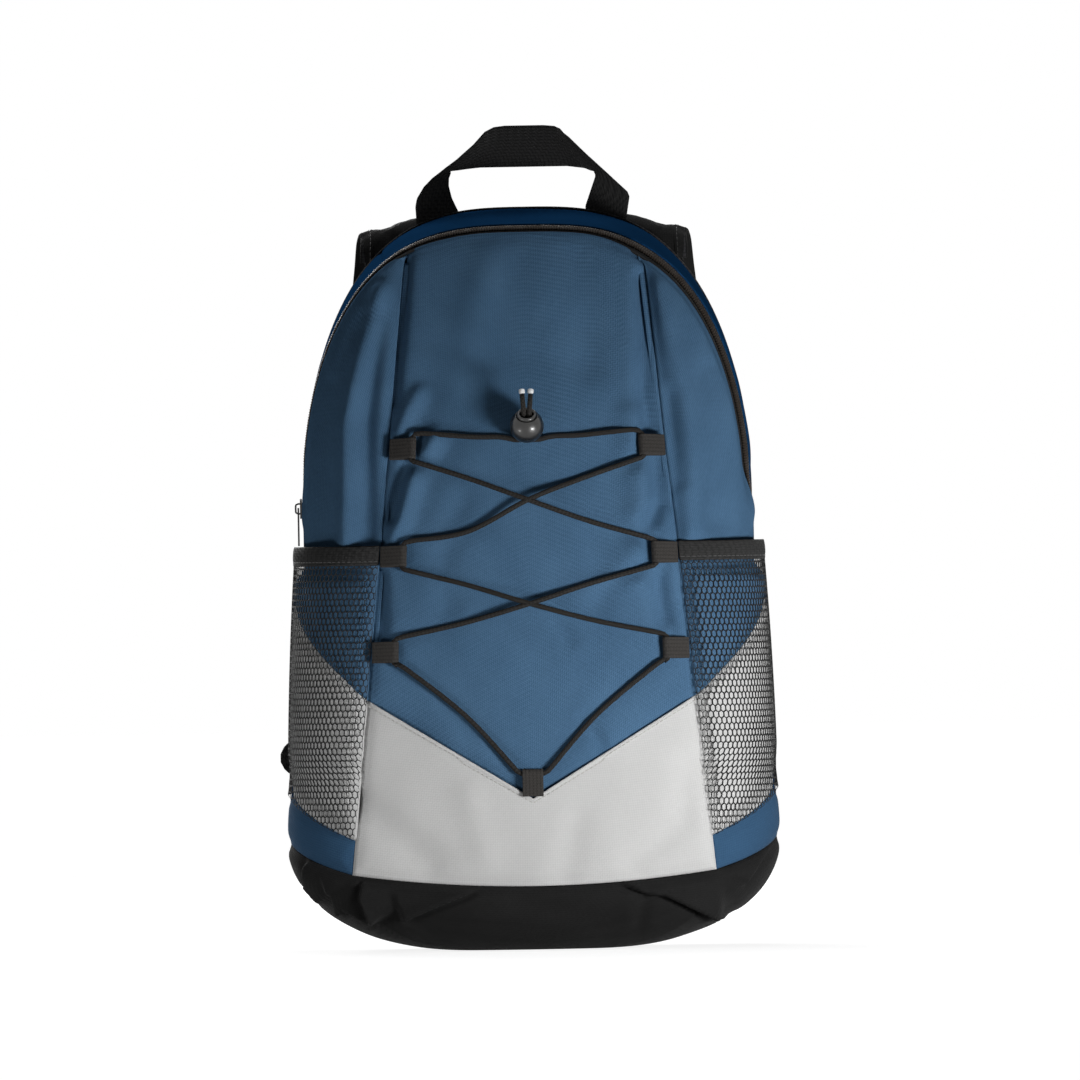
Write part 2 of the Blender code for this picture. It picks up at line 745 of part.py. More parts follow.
def make_slider():
    """The slider rides on the coils at the left end of the zip, and the puller hangs from it."""
    middle = (coil_reach(0) + coil_reach(1)) / 2
    centre_z = zip_end() + SLIDER_LENGTH / 2
    spot = gusset_side_point(middle / (gusset_rear() - ZIP_Y), centre_z)
    widest = max(edge_x(centre_z), spot.x)
    inner = widest + COIL_RADIUS - COIL_SINK + GAP
    frame = Matrix.Translation((-inner, spot.y, centre_z))
    outer_face = -SLIDER_PLATE
    plate_mesh = box_mesh("zip_slider", (SLIDER_PLATE, SLIDER_WIDTH, SLIDER_LENGTH),
                          Vector((-SLIDER_PLATE / 2, 0, 0)), frame)
    slider = place("zip_slider", plate_mesh, BLACK_PLASTIC)
    rise = outer_face - CROWN_RISE
    sunk = outer_face + SLIDER_PLATE / 2
    arch = [Vector((sunk, 0, CROWN_HALF_LENGTH)), Vector((rise, 0, CROWN_HALF_LENGTH * CROWN_TAPER)),
            Vector((rise, 0, -CROWN_HALF_LENGTH * CROWN_TAPER)), Vector((sunk, 0, -CROWN_HALF_LENGTH))]
    bridge = closed_mesh(rod_curve("slider_bridge", [frame @ p for p in arch], CROWN_WIRE, 2))
    combine(slider, place_cutter("slider_bridge", bridge), 'UNION')

    bar_x = outer_face - (CROWN_RISE - CROWN_WIRE) / 2
    pivot = frame @ Vector((bar_x, 0, 0))
    body = Vector((bar_x, 0, (PULLER_BAR - PULLER_LENGTH) / 2))
    puller = place("zip_puller", box_mesh("zip_puller", (PULLER_THICKNESS, PULLER_WIDTH, PULLER_LENGTH),
                                          body, frame), BLACK_PLASTIC, pivot)
    hole_z = -PULLER_BAR / 2 - PULLER_HOLE / 2
    hole = box_mesh("puller_hole", (PULLER_THICKNESS * 3, PULLER_HOLE, PULLER_HOLE),
                    Vector((bar_x, 0, hole_z)), frame)
    combine(puller, place_cutter("puller_hole", hole), 'DIFFERENCE')


def closed_mesh(curve):
    """A curve's rod as one closed mesh."""
    helper = bpy.data.objects.new(curve.name, curve)
    bpy.context.scene.collection.objects.link(helper)
    bpy.context.view_layer.update()
    solid = bpy.data.meshes.new_from_object(helper.evaluated_get(bpy.context.evaluated_depsgraph_get()))
    bpy.data.objects.remove(helper, do_unlink=True)
    shape = bmesh.new()
    shape.from_mesh(solid)
    bmesh.ops.remove_doubles(shape, verts=shape.verts, dist=0.01 * MM)
    bmesh.ops.recalc_face_normals(shape, faces=shape.faces)
    shape.to_mesh(solid)
    shape.free()
    return solid


# Lacing

def fold_radius(rod_radius, tape):
    """Radius of a folded tape's middle line round a rod."""
    return rod_radius + CORD_CLEARANCE + tape / 2


def hairpin(length, radius, tape, gap_at_root):
    """A tape folded round a rod: places along (x) and off (y) the surface it lies on."""
    low = tape / 2 + GAP
    centre = length - radius
    path = [(0.0, low), (centre / 2, low)]
    for k in range(9):
        turn = -math.pi / 2 + math.pi * k / 8
        path.append((centre + radius * math.cos(turn), low + radius + radius * math.sin(turn)))
    path.append((centre / 2, lerp(low + tape + gap_at_root, low + 2 * radius, 0.6)))
    path.append((0.0, low + tape + gap_at_root))
    return path


def loop_frame(root, toward):
    """A frame on the front: X from the seam towards the fold, Y off the fabric, Z across."""
    along = (toward - root).normalized()
    step = LOOP_TAPE
    right = on_front(root.x + step, root.z) - root
    up = on_front(root.x, root.z + step) - root
    off = right.cross(up).normalized()
    off = (off - along * off.dot(along)).normalized()
    if off.y > 0:
        off = -off
    across = along.cross(off)
    frame = Matrix((along, off, across)).transposed().to_4x4()
    frame.translation = root
    return frame


def cord_loop(name, frame):
    """A tape tab sewn in a seam and folded round the cord."""
    path = hairpin(LOOP_LENGTH, fold_radius(CORD_RADIUS, LOOP_TAPE), LOOP_TAPE, GAP)
    points = [frame @ Vector((x, y, 0)) for x, y in path]
    side = frame.to_3x3() @ Vector((0, 0, LOOP_WIDTH / 2))
    thing = place(name, ribbon_mesh(name, points, [side] * len(points)), BLACK_WEB)
    sheet(thing, LOOP_TAPE, 0)


def on_front(x, z, lift=0.0):
    return Vector((x, front_y(x, z) - lift, z))


def loop_root_x(z):
    return seam_x(z) - 2 * SEAM_INSET


def side_loop_frame(side, z):
    x = loop_root_x(z)
    return loop_frame(on_front(side * x, z), on_front(side * (x - LOOP_LENGTH), z))


def bottom_loop_frame():
    return loop_frame(on_front(0, BOTTOM_LOOP_HEIGHT), on_front(0, BOTTOM_LOOP_HEIGHT + LOOP_LENGTH))


def make_loops():
    for index, z in enumerate(LOOP_HEIGHTS):
        for name, side in both_sides():
            cord_loop(f"{name}_cord_loop_{index + 1}", side_loop_frame(side, z))
    cord_loop("bottom_cord_loop", bottom_loop_frame())


def lock_axis():
    tilt = math.radians(LOCK_TILT)
    return Vector((0, -math.sin(tilt), math.cos(tilt)))


def lock_floor():
    """The bore's floor leaves room for the pressed plunger and the closed spring."""
    return PLUNGER_LOW - PLUNGER_TRAVEL - 2 * SPRING_WIRE * SPRING_TURNS - PLUNGER_CLEARANCE


def lock_centre():
    return on_front(0, LOCK_HEIGHT, LOCK_RADIUS + LOCK_STANDOFF)


def half_lacing(slack):
    """Route of one half of the cord from its tail to the bottom loop: x, height above fabric, z."""
    fold = fold_radius(CORD_RADIUS, LOOP_TAPE)
    axis = lock_axis()
    centre = lock_centre()
    half = LOOP_WIDTH / 2
    route = []

    def in_lock(x, along, up=0.0, back=0.0):
        spot = centre + axis * along
        z = spot.z + up
        route.append(Vector((x, front_y(x, z) - spot.y - back, z)))

    def on_fabric(x, z, lift=CORD_LIFT):
        route.append(Vector((x, lift, z)))

    def mid_run(side, loop_height, edge, crossing, sag=0.0):
        middle = (loop_height + edge + crossing) / 2
        on_fabric(side * (loop_root_x(loop_height) - LOOP_LENGTH) / 2, middle - sag)

    def in_loop(frame, across, beyond=0.0):
        spot = frame @ Vector((LOOP_LENGTH - fold + beyond, LOOP_TAPE / 2 + GAP + fold, across))
        route.append(Vector((spot.x, front_y(spot.x, spot.z) - spot.y, spot.z)))

    def through_loop(side, z):
        frame = side_loop_frame(side, z)
        down = -1 if frame.col[2].z > 0 else 1
        inside = half + CORD_CLEARANCE
        in_loop(frame, -down * (half + 2 * CORD_RADIUS), 4 * CORD_RADIUS)
        in_loop(frame, -down * (half + CORD_RADIUS), CORD_RADIUS)
        in_loop(frame, -down * inside)
        in_loop(frame, down * inside)
        in_loop(frame, down * (half + CORD_RADIUS), CORD_RADIUS)
        in_loop(frame, down * (half + 2 * CORD_RADIUS), 4 * CORD_RADIUS)

    in_lock(-TAIL_SPREAD, PLUNGER_HIGH, TAIL_LENGTH)
    in_lock(-STRAND_OFFSET, PLUNGER_HIGH + CORD_RADIUS)
    in_lock(-STRAND_OFFSET, 0)
    in_lock(-STRAND_OFFSET, -LOCK_RADIUS)
    in_lock(-2 * CORD_RADIUS, -LOCK_RADIUS - CORD_RADIUS, CORD_RADIUS / 2)
    on_fabric(-0.8 * LOCK_RADIUS, LOCK_HEIGHT - LOCK_RADIUS, 1.5 * CORD_LIFT)
    on_fabric(-1.6 * LOCK_RADIUS, LOCK_HEIGHT - 0.7 * LOCK_RADIUS)
    mid_run(-1, LOOP_HEIGHTS[0], half, LOCK_HEIGHT - LOCK_RADIUS / 2)
    through_loop(-1, LOOP_HEIGHTS[0])
    mid_run(-1, LOOP_HEIGHTS[0], -half, CROSSING_HEIGHTS[0])
    on_fabric(0, CROSSING_HEIGHTS[0], CROSSING_LIFT)
    mid_run(1, LOOP_HEIGHTS[1], half, CROSSING_HEIGHTS[0], slack)
    through_loop(1, LOOP_HEIGHTS[1])
    mid_run(1, LOOP_HEIGHTS[1], -half, CROSSING_HEIGHTS[1])
    on_fabric(0, CROSSING_HEIGHTS[1], CROSSING_LIFT)
    mid_run(-1, LOOP_HEIGHTS[2], half, CROSSING_HEIGHTS[1])
    through_loop(-1, LOOP_HEIGHTS[2])
    mid_run(-1, LOOP_HEIGHTS[2], -half, BOTTOM_LOOP_HEIGHT + LOOP_LENGTH)
    bottom = bottom_loop_frame()
    left = -1 if bottom.col[2].x > 0 else 1
    in_loop(bottom, left * (half + 2 * CORD_RADIUS), CORD_RADIUS)
    in_loop(bottom, left * (half + CORD_CLEARANCE))
    in_loop(bottom, 0)
    return route


def make_cord():
    """The elastic cord runs from one tail through all loops to the other tail."""
    first = half_lacing(0.0)
    second = []
    for spot in half_lacing(CORD_SLACK)[:-1]:
        lift = spot.y if spot.y != CROSSING_LIFT else CORD_LIFT
        second.append(Vector((-spot.x, lift, spot.z)))
    route = first + list(reversed(second))
    line = [on_front(spot.x, spot.z, spot.y) for spot in smooth_path(route, CORD_SPACING)]
    place("elastic_cord", rod_curve("elastic_cord", line, CORD_RADIUS, 2), CORD_BLACK)
    for name, end, inner in (("left", line[0], line[1]), ("right", line[-1], line[-2])):
        along = (end - inner).normalized()
        tip = [end + along * GAP, end + along * (GAP + TIP_LENGTH)]
        place(f"{name}_cord_tip", rod_curve(f"{name}_cord_tip", tip, CORD_RADIUS + TIP_WALL, 2), CLEAR_TIP)


def turned(name, profile, finish, pivot, frame):
    """A piece turned about the lock's axis, from (radius, place) pairs down its outer side."""
    mesh = bpy.data.meshes.new(name)
    corners = [Vector((radius, 0, place_along)) for radius, place_along in profile]
    edges = [(k, (k + 1) % len(corners)) for k in range(len(corners))]
    mesh.from_pydata(corners, edges, [])
    thing = bpy.data.objects.new(name, mesh)
    parts.objects.link(thing)
    thing.matrix_world = Matrix.Translation(pivot) @ frame
    spin = thing.modifiers.new("turn", 'SCREW')
    spin.axis = 'Z'
    spin.steps = 20
    spin.render_steps = 20
    spin.use_merge_vertices = True
    spin.merge_threshold = 0.00001
    spin.use_normal_calculate = True
    paint(thing, finish)
    return thing


def make_cord_lock():
    centre = lock_centre()
    frame = lock_axis().to_track_quat('Z', 'Y').to_matrix().to_4x4()
    mouth = math.sqrt(LOCK_RADIUS ** 2 - LOCK_BORE ** 2)
    tail = -math.sqrt(LOCK_RADIUS ** 2 - CORD_HOLE ** 2)
    ball = []
    low = math.atan2(tail, CORD_HOLE)
    high = math.atan2(mouth, LOCK_BORE)
    for k in range(11):
        turn = lerp(high, low, k / 10)
        ball.append((LOCK_RADIUS * math.cos(turn), LOCK_RADIUS * math.sin(turn)))
    ball += [(CORD_HOLE, lock_floor()), (LOCK_BORE, lock_floor())]
    turned("cord_lock_body", ball, SMOKE_PLASTIC, centre, frame)
    outer = LOCK_BORE - PLUNGER_CLEARANCE
    rim = PLUNGER_HIGH - PLUNGER_LIP
    plunger = [(CORD_HOLE + PLUNGER_LIP, PLUNGER_HIGH), (outer, rim), (outer, PLUNGER_LOW),
               (CORD_HOLE, PLUNGER_LOW), (CORD_HOLE, rim)]
    turned("cord_lock_plunger", plunger, BLACK_PLASTIC, centre, frame)
    spring_radius = (CORD_HOLE + LOCK_BORE) / 2
    bottom = lock_floor() + SPRING_WIRE + PLUNGER_CLEARANCE
    top = PLUNGER_LOW - SPRING_WIRE - PLUNGER_CLEARANCE
    coil = []
    steps = SPRING_TURNS * 10
    for k in range(steps + 1):
        turn = 2 * math.pi * SPRING_TURNS * k / steps
        spot = Vector((spring_radius * math.cos(turn), spring_radius * math.sin(turn),
                       lerp(bottom, top, k / steps)))
        coil.append(centre + frame.to_3x3() @ spot)
    place("cord_lock_spring", rod_curve("cord_lock_spring", coil, SPRING_WIRE, 1), STEEL)


# Grab handle

def handle_y():
    return BACK_Y + GAP + WEBBING / 2


def make_handle():
    foot = HANDLE_PIVOT_HEIGHT
    inner_foot = HANDLE_FOOT_HALF_SPAN - HANDLE_WIDTH
    crown = foot + HANDLE_RISE
    grip = crown - HANDLE_GRIP_WIDTH
    right = [
        (inner_foot, foot),
        (HANDLE_FOOT_HALF_SPAN, foot),
        (HANDLE_FOOT_HALF_SPAN, foot + HANDLE_LEG_RISE),
        (HANDLE_FOOT_HALF_SPAN - HANDLE_KNEE_INSET, foot + HANDLE_KNEE_RISE),
        (HANDLE_CROWN_HALF_WIDTH + HANDLE_ROUND, crown - HANDLE_ROUND / 2),
        (HANDLE_CROWN_HALF_WIDTH - HANDLE_ROUND, crown),
    ]
    inner = [(HANDLE_GRIP_HALF_SPAN - HANDLE_ROUND, grip), (HANDLE_GRIP_HALF_SPAN, grip - HANDLE_ROUND)]
    outline = right + [(-x, z) for x, z in reversed(right)]
    outline += [(-x, z) for x, z in reversed(inner)] + inner
    pivot = Vector((0, handle_y(), HANDLE_PIVOT_HEIGHT))
    handle = plate("grab_handle", [(x, z - pivot.z) for x, z in outline], WEBBING, 0, BLACK_WEB)
    handle.location = pivot
    for name, side in both_sides():
        near = side * inner_foot
        far = side * HANDLE_FOOT_HALF_SPAN
        top = foot - GAP - WEBBING / 2
        low = foot - HANDLE_SEWN_LENGTH
        plate(f"{name}_handle_end", [(near, low), (far, low), (far, top), (near, top)],
              WEBBING, handle_y(), BLACK_WEB)


# Shoulder straps

def strap_frames(side):
    """Middle line of the strap's outer face, with its right, inward and along directions."""
    route = [Vector((side * x, BACK_Y + y, z)) for x, y, z in STRAP_ROUTE]
    path = smooth_path(route, STRAP_SPACING)
    frames = []
    for k, spot in enumerate(path):
        ahead = path[min(k + 1, len(path) - 1)] - path[max(k - 1, 0)]
        along = ahead.normalized()
        right = Vector((1, 0, -side * STRAP_TILT * (1 - k / (len(path) - 1))))
        right = (right - along * right.dot(along)).normalized()
        frames.append((spot, right, along.cross(right), along))
    return frames


def strap_layer(name, side, depth, thickness, finish):
    frames = strap_frames(side)
    points = []
    sides = []
    for k, (spot, right, inward, _) in enumerate(frames):
        width = lerp(STRAP_TOP_WIDTH, STRAP_END_WIDTH, smooth(k / (len(frames) - 1)))
        points.append(spot + inward * (depth + thickness / 2))
        sides.append(right * (width / 2))
    pivot = points[0]
    thing = place(name, ribbon_mesh(name, points, sides), finish, pivot)
    sheet(thing, thickness, 0)


def strap_end_frame(side):
    """Frame at the strap's lower end: X across, Y towards the bag, Z down the strap."""
    spot, right, inward, along = strap_frames(side)[-1]
    frame = Matrix((right, inward, along)).transposed().to_4x4()
    frame.translation = spot + inward * (STRAP_COVER + STRAP_LAYER_GAP + STRAP_PAD / 2)
    return frame


def tape_in_frame(name, frame, path, width, thickness, finish, pivot=None):
    """A tape whose path is given along (first) and off (second) in a strap's end frame."""
    points = [frame @ Vector((0, off, along)) for along, off in path]
    side = frame.to_3x3() @ Vector((width / 2, 0, 0))
    thing = place(name, ribbon_mesh(name, points, [side] * len(points)), finish, pivot)
    sheet(thing, thickness, 0)


def bar_radius():
    """Round that clears a buckle's bar."""
    return math.hypot(BUCKLE_BAR, BUCKLE_THICKNESS) / 2


def make_strap_ends(name, side):
    frame = strap_end_frame(side)
    fold = fold_radius(bar_radius(), WEBBING)
    loop_start = GAP + WEBBING / 2
    upper_bar = loop_start + STRAP_LOOP_LENGTH
    loop_path = [(loop_start, -fold * 0.5), (loop_start + STRAP_LOOP_LENGTH / 3, -fold)]
    for k in range(9):
        turn = -math.pi / 2 + math.pi * k / 8
        loop_path.append((upper_bar + fold * math.cos(turn), fold * math.sin(turn)))
    loop_path += [(loop_start + STRAP_LOOP_LENGTH / 3, fold), (loop_start, fold * 0.5)]
    tape_in_frame(f"{name}_strap_loop", frame, loop_path, STRAP_LOOP_WIDTH, WEBBING, BLACK_WEB)

    pivot = frame @ Vector((0, 0, upper_bar))
    lower_bar = upper_bar + BUCKLE_LENGTH - BUCKLE_BAR
    middle = (upper_bar + lower_bar) / 2
    buckle = place(f"{name}_ladder_lock",
                   box_mesh(f"{name}_ladder_lock", (BUCKLE_WIDTH, BUCKLE_THICKNESS, BUCKLE_LENGTH),
                            Vector((0, 0, middle)), frame), BLACK_PLASTIC, pivot)
    slot_length = BUCKLE_LENGTH - 2 * BUCKLE_BAR
    slot = box_mesh(f"{name}_buckle_slot",
                    (BUCKLE_WIDTH - 2 * BUCKLE_BAR, BUCKLE_THICKNESS * 3, slot_length),
                    Vector((0, 0, middle)), frame)
    combine(buckle, place_cutter(f"{name}_buckle_slot", slot), 'DIFFERENCE')

    tail_end = lower_bar + WEBBING_TAIL_LENGTH
    run_end = lower_bar + LOWER_WEBBING_LENGTH
    web_path = [(tail_end, -fold - WEBBING_TAIL_LIFT),
                (lower_bar + WEBBING_TAIL_BEND, -fold - WEBBING_TAIL_LIFT / 3)]
    for k in range(9):
        turn = -math.pi / 2 - math.pi * k / 8
        web_path.append((lower_bar + fold * math.cos(turn), fold * math.sin(turn)))
    web_path += [(lower_bar + WEBBING_RUN_BEND, fold), (run_end, fold)]
    tape_in_frame(f"{name}_lower_webbing", frame, web_path, LOWER_WEBBING_WIDTH, WEBBING, BLACK_WEB, pivot)


def make_straps():
    for name, side in both_sides():
        strap_layer(f"{name}_strap_cover", side, 0, STRAP_COVER, BLACK)
        strap_layer(f"{name}_strap_pad", side, STRAP_COVER + STRAP_LAYER_GAP, STRAP_PAD, FOAM)
        make_strap_ends(name, side)
        inner = side * ANCHOR_INNER_X
        outer = side * ANCHOR_OUTER_X
        low = ANCHOR_HEIGHT - ANCHOR_HALF_HEIGHT
        high = ANCHOR_HEIGHT + ANCHOR_HALF_HEIGHT
        blunt = ANCHOR_HALF_HEIGHT / 2
        plate(f"{name}_anchor_tab",
              [(inner, low), (outer, ANCHOR_HEIGHT - blunt), (outer, ANCHOR_HEIGHT + blunt), (inner, high)],
              WEBBING, BACK_Y + GAP + WEBBING / 2, BLACK_WEB)


clear_scene()
make_back()
make_front_panels()
make_side_panels()
make_zip_gusset()
make_base()
make_pockets()
make_slider()
make_loops()
make_cord()
make_cord_lock()
make_handle()
make_straps()
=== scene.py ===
# %% [markdown]
# A laced daypack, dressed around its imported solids
#
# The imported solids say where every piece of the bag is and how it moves. This lesson puts cloth,
# webbing, mesh, cord and plastic in their places. All sizes are in millimetres until a mesh is
# made, because a bag maker thinks in them, and one factor turns them to metres.

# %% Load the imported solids
import math

import bmesh
import bpy
import numpy as np
from mathutils import Matrix, Vector


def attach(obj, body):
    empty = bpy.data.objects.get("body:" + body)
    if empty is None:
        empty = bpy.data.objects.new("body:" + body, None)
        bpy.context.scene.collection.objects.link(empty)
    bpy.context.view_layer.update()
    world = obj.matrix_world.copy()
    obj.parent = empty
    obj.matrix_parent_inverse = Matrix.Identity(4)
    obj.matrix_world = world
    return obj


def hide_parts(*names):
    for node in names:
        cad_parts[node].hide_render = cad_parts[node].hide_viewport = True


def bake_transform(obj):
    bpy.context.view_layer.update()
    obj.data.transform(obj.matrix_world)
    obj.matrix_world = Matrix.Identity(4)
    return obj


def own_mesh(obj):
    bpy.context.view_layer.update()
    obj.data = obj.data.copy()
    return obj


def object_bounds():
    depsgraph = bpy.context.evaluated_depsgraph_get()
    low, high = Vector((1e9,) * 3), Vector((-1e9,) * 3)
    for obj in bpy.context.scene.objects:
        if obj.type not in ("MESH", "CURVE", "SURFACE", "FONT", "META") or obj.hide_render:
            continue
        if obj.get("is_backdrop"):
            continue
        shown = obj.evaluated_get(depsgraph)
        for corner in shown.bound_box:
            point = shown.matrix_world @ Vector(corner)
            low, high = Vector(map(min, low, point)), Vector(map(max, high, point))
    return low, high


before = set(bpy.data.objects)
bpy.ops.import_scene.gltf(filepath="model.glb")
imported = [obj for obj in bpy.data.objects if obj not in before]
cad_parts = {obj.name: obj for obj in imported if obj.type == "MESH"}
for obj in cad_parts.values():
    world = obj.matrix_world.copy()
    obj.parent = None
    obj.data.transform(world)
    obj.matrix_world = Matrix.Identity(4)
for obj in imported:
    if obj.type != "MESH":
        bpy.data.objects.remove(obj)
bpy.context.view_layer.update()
MM = 0.001

# %% [markdown]
# Camera
#
# The bag is seen square from the front through a very long lens, so there is hardly any
# perspective. A frame of 1080 pixels covers 648 mm at the middle of the bag. The lens follows from
# that width and the distance. In the photograph the bag leans a little to the left, so the camera
# is rolled by as much.

# %% Camera
FRAME_WIDTH = 648
CAMERA_DISTANCE = 12000
FRONT_PLANE = 0  # where the frame's width is measured
VIEW_CENTRE = (6.7, 244.8)  # x and z in the middle of the frame
ROLL = math.radians(1.0)

camera_data = bpy.data.cameras.new("camera")
camera_data.sensor_width = 36
camera_data.lens = camera_data.sensor_width * CAMERA_DISTANCE / FRAME_WIDTH
camera_data.clip_end = 100
camera = bpy.data.objects.new("camera", camera_data)
camera.location = Vector((VIEW_CENTRE[0], FRONT_PLANE - CAMERA_DISTANCE, VIEW_CENTRE[1])) * MM
camera.rotation_euler = (math.pi / 2, ROLL, 0)
bpy.context.scene.collection.objects.link(camera)
bpy.context.scene.camera = camera
print("lens:", round(camera_data.lens, 1), "mm")

# %% [markdown]
# Colour and nodes
#
# Colours are written as sRGB hex values, as a designer picks them, and one function turns them to
# the linear numbers that a shader needs. One more small function adds a node, sets it and links
# it, so that a finish can be read as a list of steps.

# %% Colour and nodes
def colour(hex_value):
    """Linear RGBA of an sRGB hex colour."""
    channels = [int(hex_value[i:i + 2], 16) / 255 for i in (1, 3, 5)]
    return [c / 12.92 if c <= 0.04045 else ((c + 0.055) / 1.055) ** 2.4 for c in channels] + [1.0]


def add(tree, kind, sockets, **settings):
    """Add a node with its settings; each socket takes a value or a link from another node."""
    node = tree.nodes.new(kind)
    for name, value in settings.items():
        setattr(node, name, value)
    for name, value in sockets.items():
        if isinstance(value, bpy.types.NodeSocket):
            tree.links.new(value, node.inputs[name])
        else:
            node.inputs[name].default_value = value
    return node


def blank(name):
    """A new material with its empty node tree and its Principled shader."""
    material = bpy.data.materials.new(name)
    material.use_nodes = True
    return material, material.node_tree, material.node_tree.nodes["Principled BSDF"]


print("mid grey, linear:", [round(c, 3) for c in colour("#808080")[:3]])

# %% [markdown]
# Floor and light
#
# The bag stands on a wide table of matt paper, and the room around it is white. Both glow for the
# camera and in reflections, so that the background comes out white. Near the bag the table's glow
# leaves a share to its own shading, and that share keeps the bag's shadow. Further out it glows
# nearly fully, so that the edge of a lamp's light draws no line on it. For the cloth itself the
# room is only a dim fill. The key light is a soft box near the bag at the front right, set low,
# because the lower right of the bag is its lightest part. A small one lifts the lower left, one
# from above lights the gusset behind the zip, and one from behind lights the back.

# %% Floor and light
FLOOR_HALF = 14000
ROOM_FILL = 0.05  # what the white room gives to the cloth
GLOW_NEAR, GLOW_FAR = 0.85, 0.985  # the rest of the table's white comes from its own shading
GLOW_START, GLOW_END = 300, 720  # the glow grows between these distances from the bag's middle
LAMP_TARGET = Vector((0, 0, 220))

floor_mesh = bpy.data.meshes.new("studio_table")
corners = [(x * FLOOR_HALF * MM, y * FLOOR_HALF * MM, 0)
           for x, y in ((-1, -1), (1, -1), (1, 1), (-1, 1))]
floor_mesh.from_pydata(corners, [], [(0, 1, 2, 3)])
floor = bpy.data.objects.new("studio_table", floor_mesh)
bpy.context.scene.collection.objects.link(floor)
floor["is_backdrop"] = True


def seen_directly(tree):
    """One for rays from the camera, from gloss and through clear plastic, and zero for the rest."""
    rays = add(tree, "ShaderNodeLightPath", {})
    seen = rays.outputs["Is Camera Ray"]
    for kind in ("Is Glossy Ray", "Is Transmission Ray"):
        seen = add(tree, "ShaderNodeMath", {0: seen, 1: rays.outputs[kind]},
                   operation='ADD', use_clamp=True).outputs[0]
    return seen


paper, tree, shader = blank("matt white paper")
shader.inputs["Base Color"].default_value = colour("#a8a8a8")
shader.inputs["Roughness"].default_value = 0.9
shader.inputs["Specular IOR Level"].default_value = 0.0
shader.inputs["Emission Color"].default_value = colour("#ffffff")
spot = add(tree, "ShaderNodeTexCoord", {})
away = add(tree, "ShaderNodeVectorMath", {0: spot.outputs["Object"]}, operation='LENGTH')
level = add(tree, "ShaderNodeMapRange",
            {"Value": away.outputs["Value"], "From Min": GLOW_START * MM, "From Max": GLOW_END * MM,
             "To Min": GLOW_NEAR, "To Max": GLOW_FAR}, interpolation_type='SMOOTHSTEP')
glow = add(tree, "ShaderNodeMath", {0: seen_directly(tree), 1: level.outputs[0]},
           operation='MULTIPLY')
tree.links.new(glow.outputs[0], shader.inputs["Emission Strength"])
floor_mesh.materials.append(paper)

world = bpy.data.worlds.new("white room")
bpy.context.scene.world = world
world.use_nodes = True
tree = world.node_tree
strength = add(tree, "ShaderNodeMix", {0: seen_directly(tree), 2: ROOM_FILL, 3: 1.0})
tree.nodes["Background"].inputs["Color"].default_value = colour("#ffffff")
tree.links.new(strength.outputs[0], tree.nodes["Background"].inputs["Strength"])


def soft_box(name, place, size, power):
    """A flat lamp at a place in mm, of a size in mm and a power in watts, that faces the bag."""
    lamp = bpy.data.lights.new(name, 'AREA')
    lamp.shape = 'RECTANGLE'
    lamp.size, lamp.size_y = (s * MM for s in size)
    lamp.energy = power
    thing = bpy.data.objects.new(name, lamp)
    thing.location = Vector(place) * MM
    thing.rotation_euler = (LAMP_TARGET - Vector(place)).to_track_quat('-Z', 'Y').to_euler()
    bpy.context.scene.collection.objects.link(thing)


soft_box("key", (450, -590, 66), (230, 120), 4.5)
soft_box("fill", (-410, -340, 44), (130, 76), 0.42)
soft_box("top light", (0, 330, 1100), (500, 300), 2.3)
soft_box("back light", (-900, 2300, 1000), (1200, 900), 48)
bpy.context.scene.view_settings.view_transform = 'Standard'

# %% [markdown]
# Woven cloth
#
# Body cloth, webbing and elastic are all plain weaves of polyester yarn: at each crossing either
# the lengthwise or the crosswise yarn lies on top. The pattern comes from the cloth's own
# coordinates, which are lengths along the piece, so that yarns follow the seams. A real yarn of
# the body cloth is about 0.5 mm wide, less than a pixel, so it is drawn at 1.4 mm to show as
# grain. Its colour carries painted shade: darker between the yarns and lighter on their crowns.
# Slow noise stands for the uneven dye and fine noise for stray fibres. The sheen is the pale bloom
# that yarns give at a glancing angle. The blue and the navy cloth show none.

# %% Woven cloth
BODY_YARN, FIBRE_SIZE, DYE_SIZE = 1.4, 2.5, 45  # yarn as drawn, stray fibres, uneven dye
# DARKEST and YARN_SHADE paint shade between the yarns and light on their crowns.
DARKEST, YARN_SHADE, FIBRE_SHADE = 0.2, 0.55, 0.3  # shade between yarns, added on crowns, by fibres
POLYESTER_IOR = 1.54


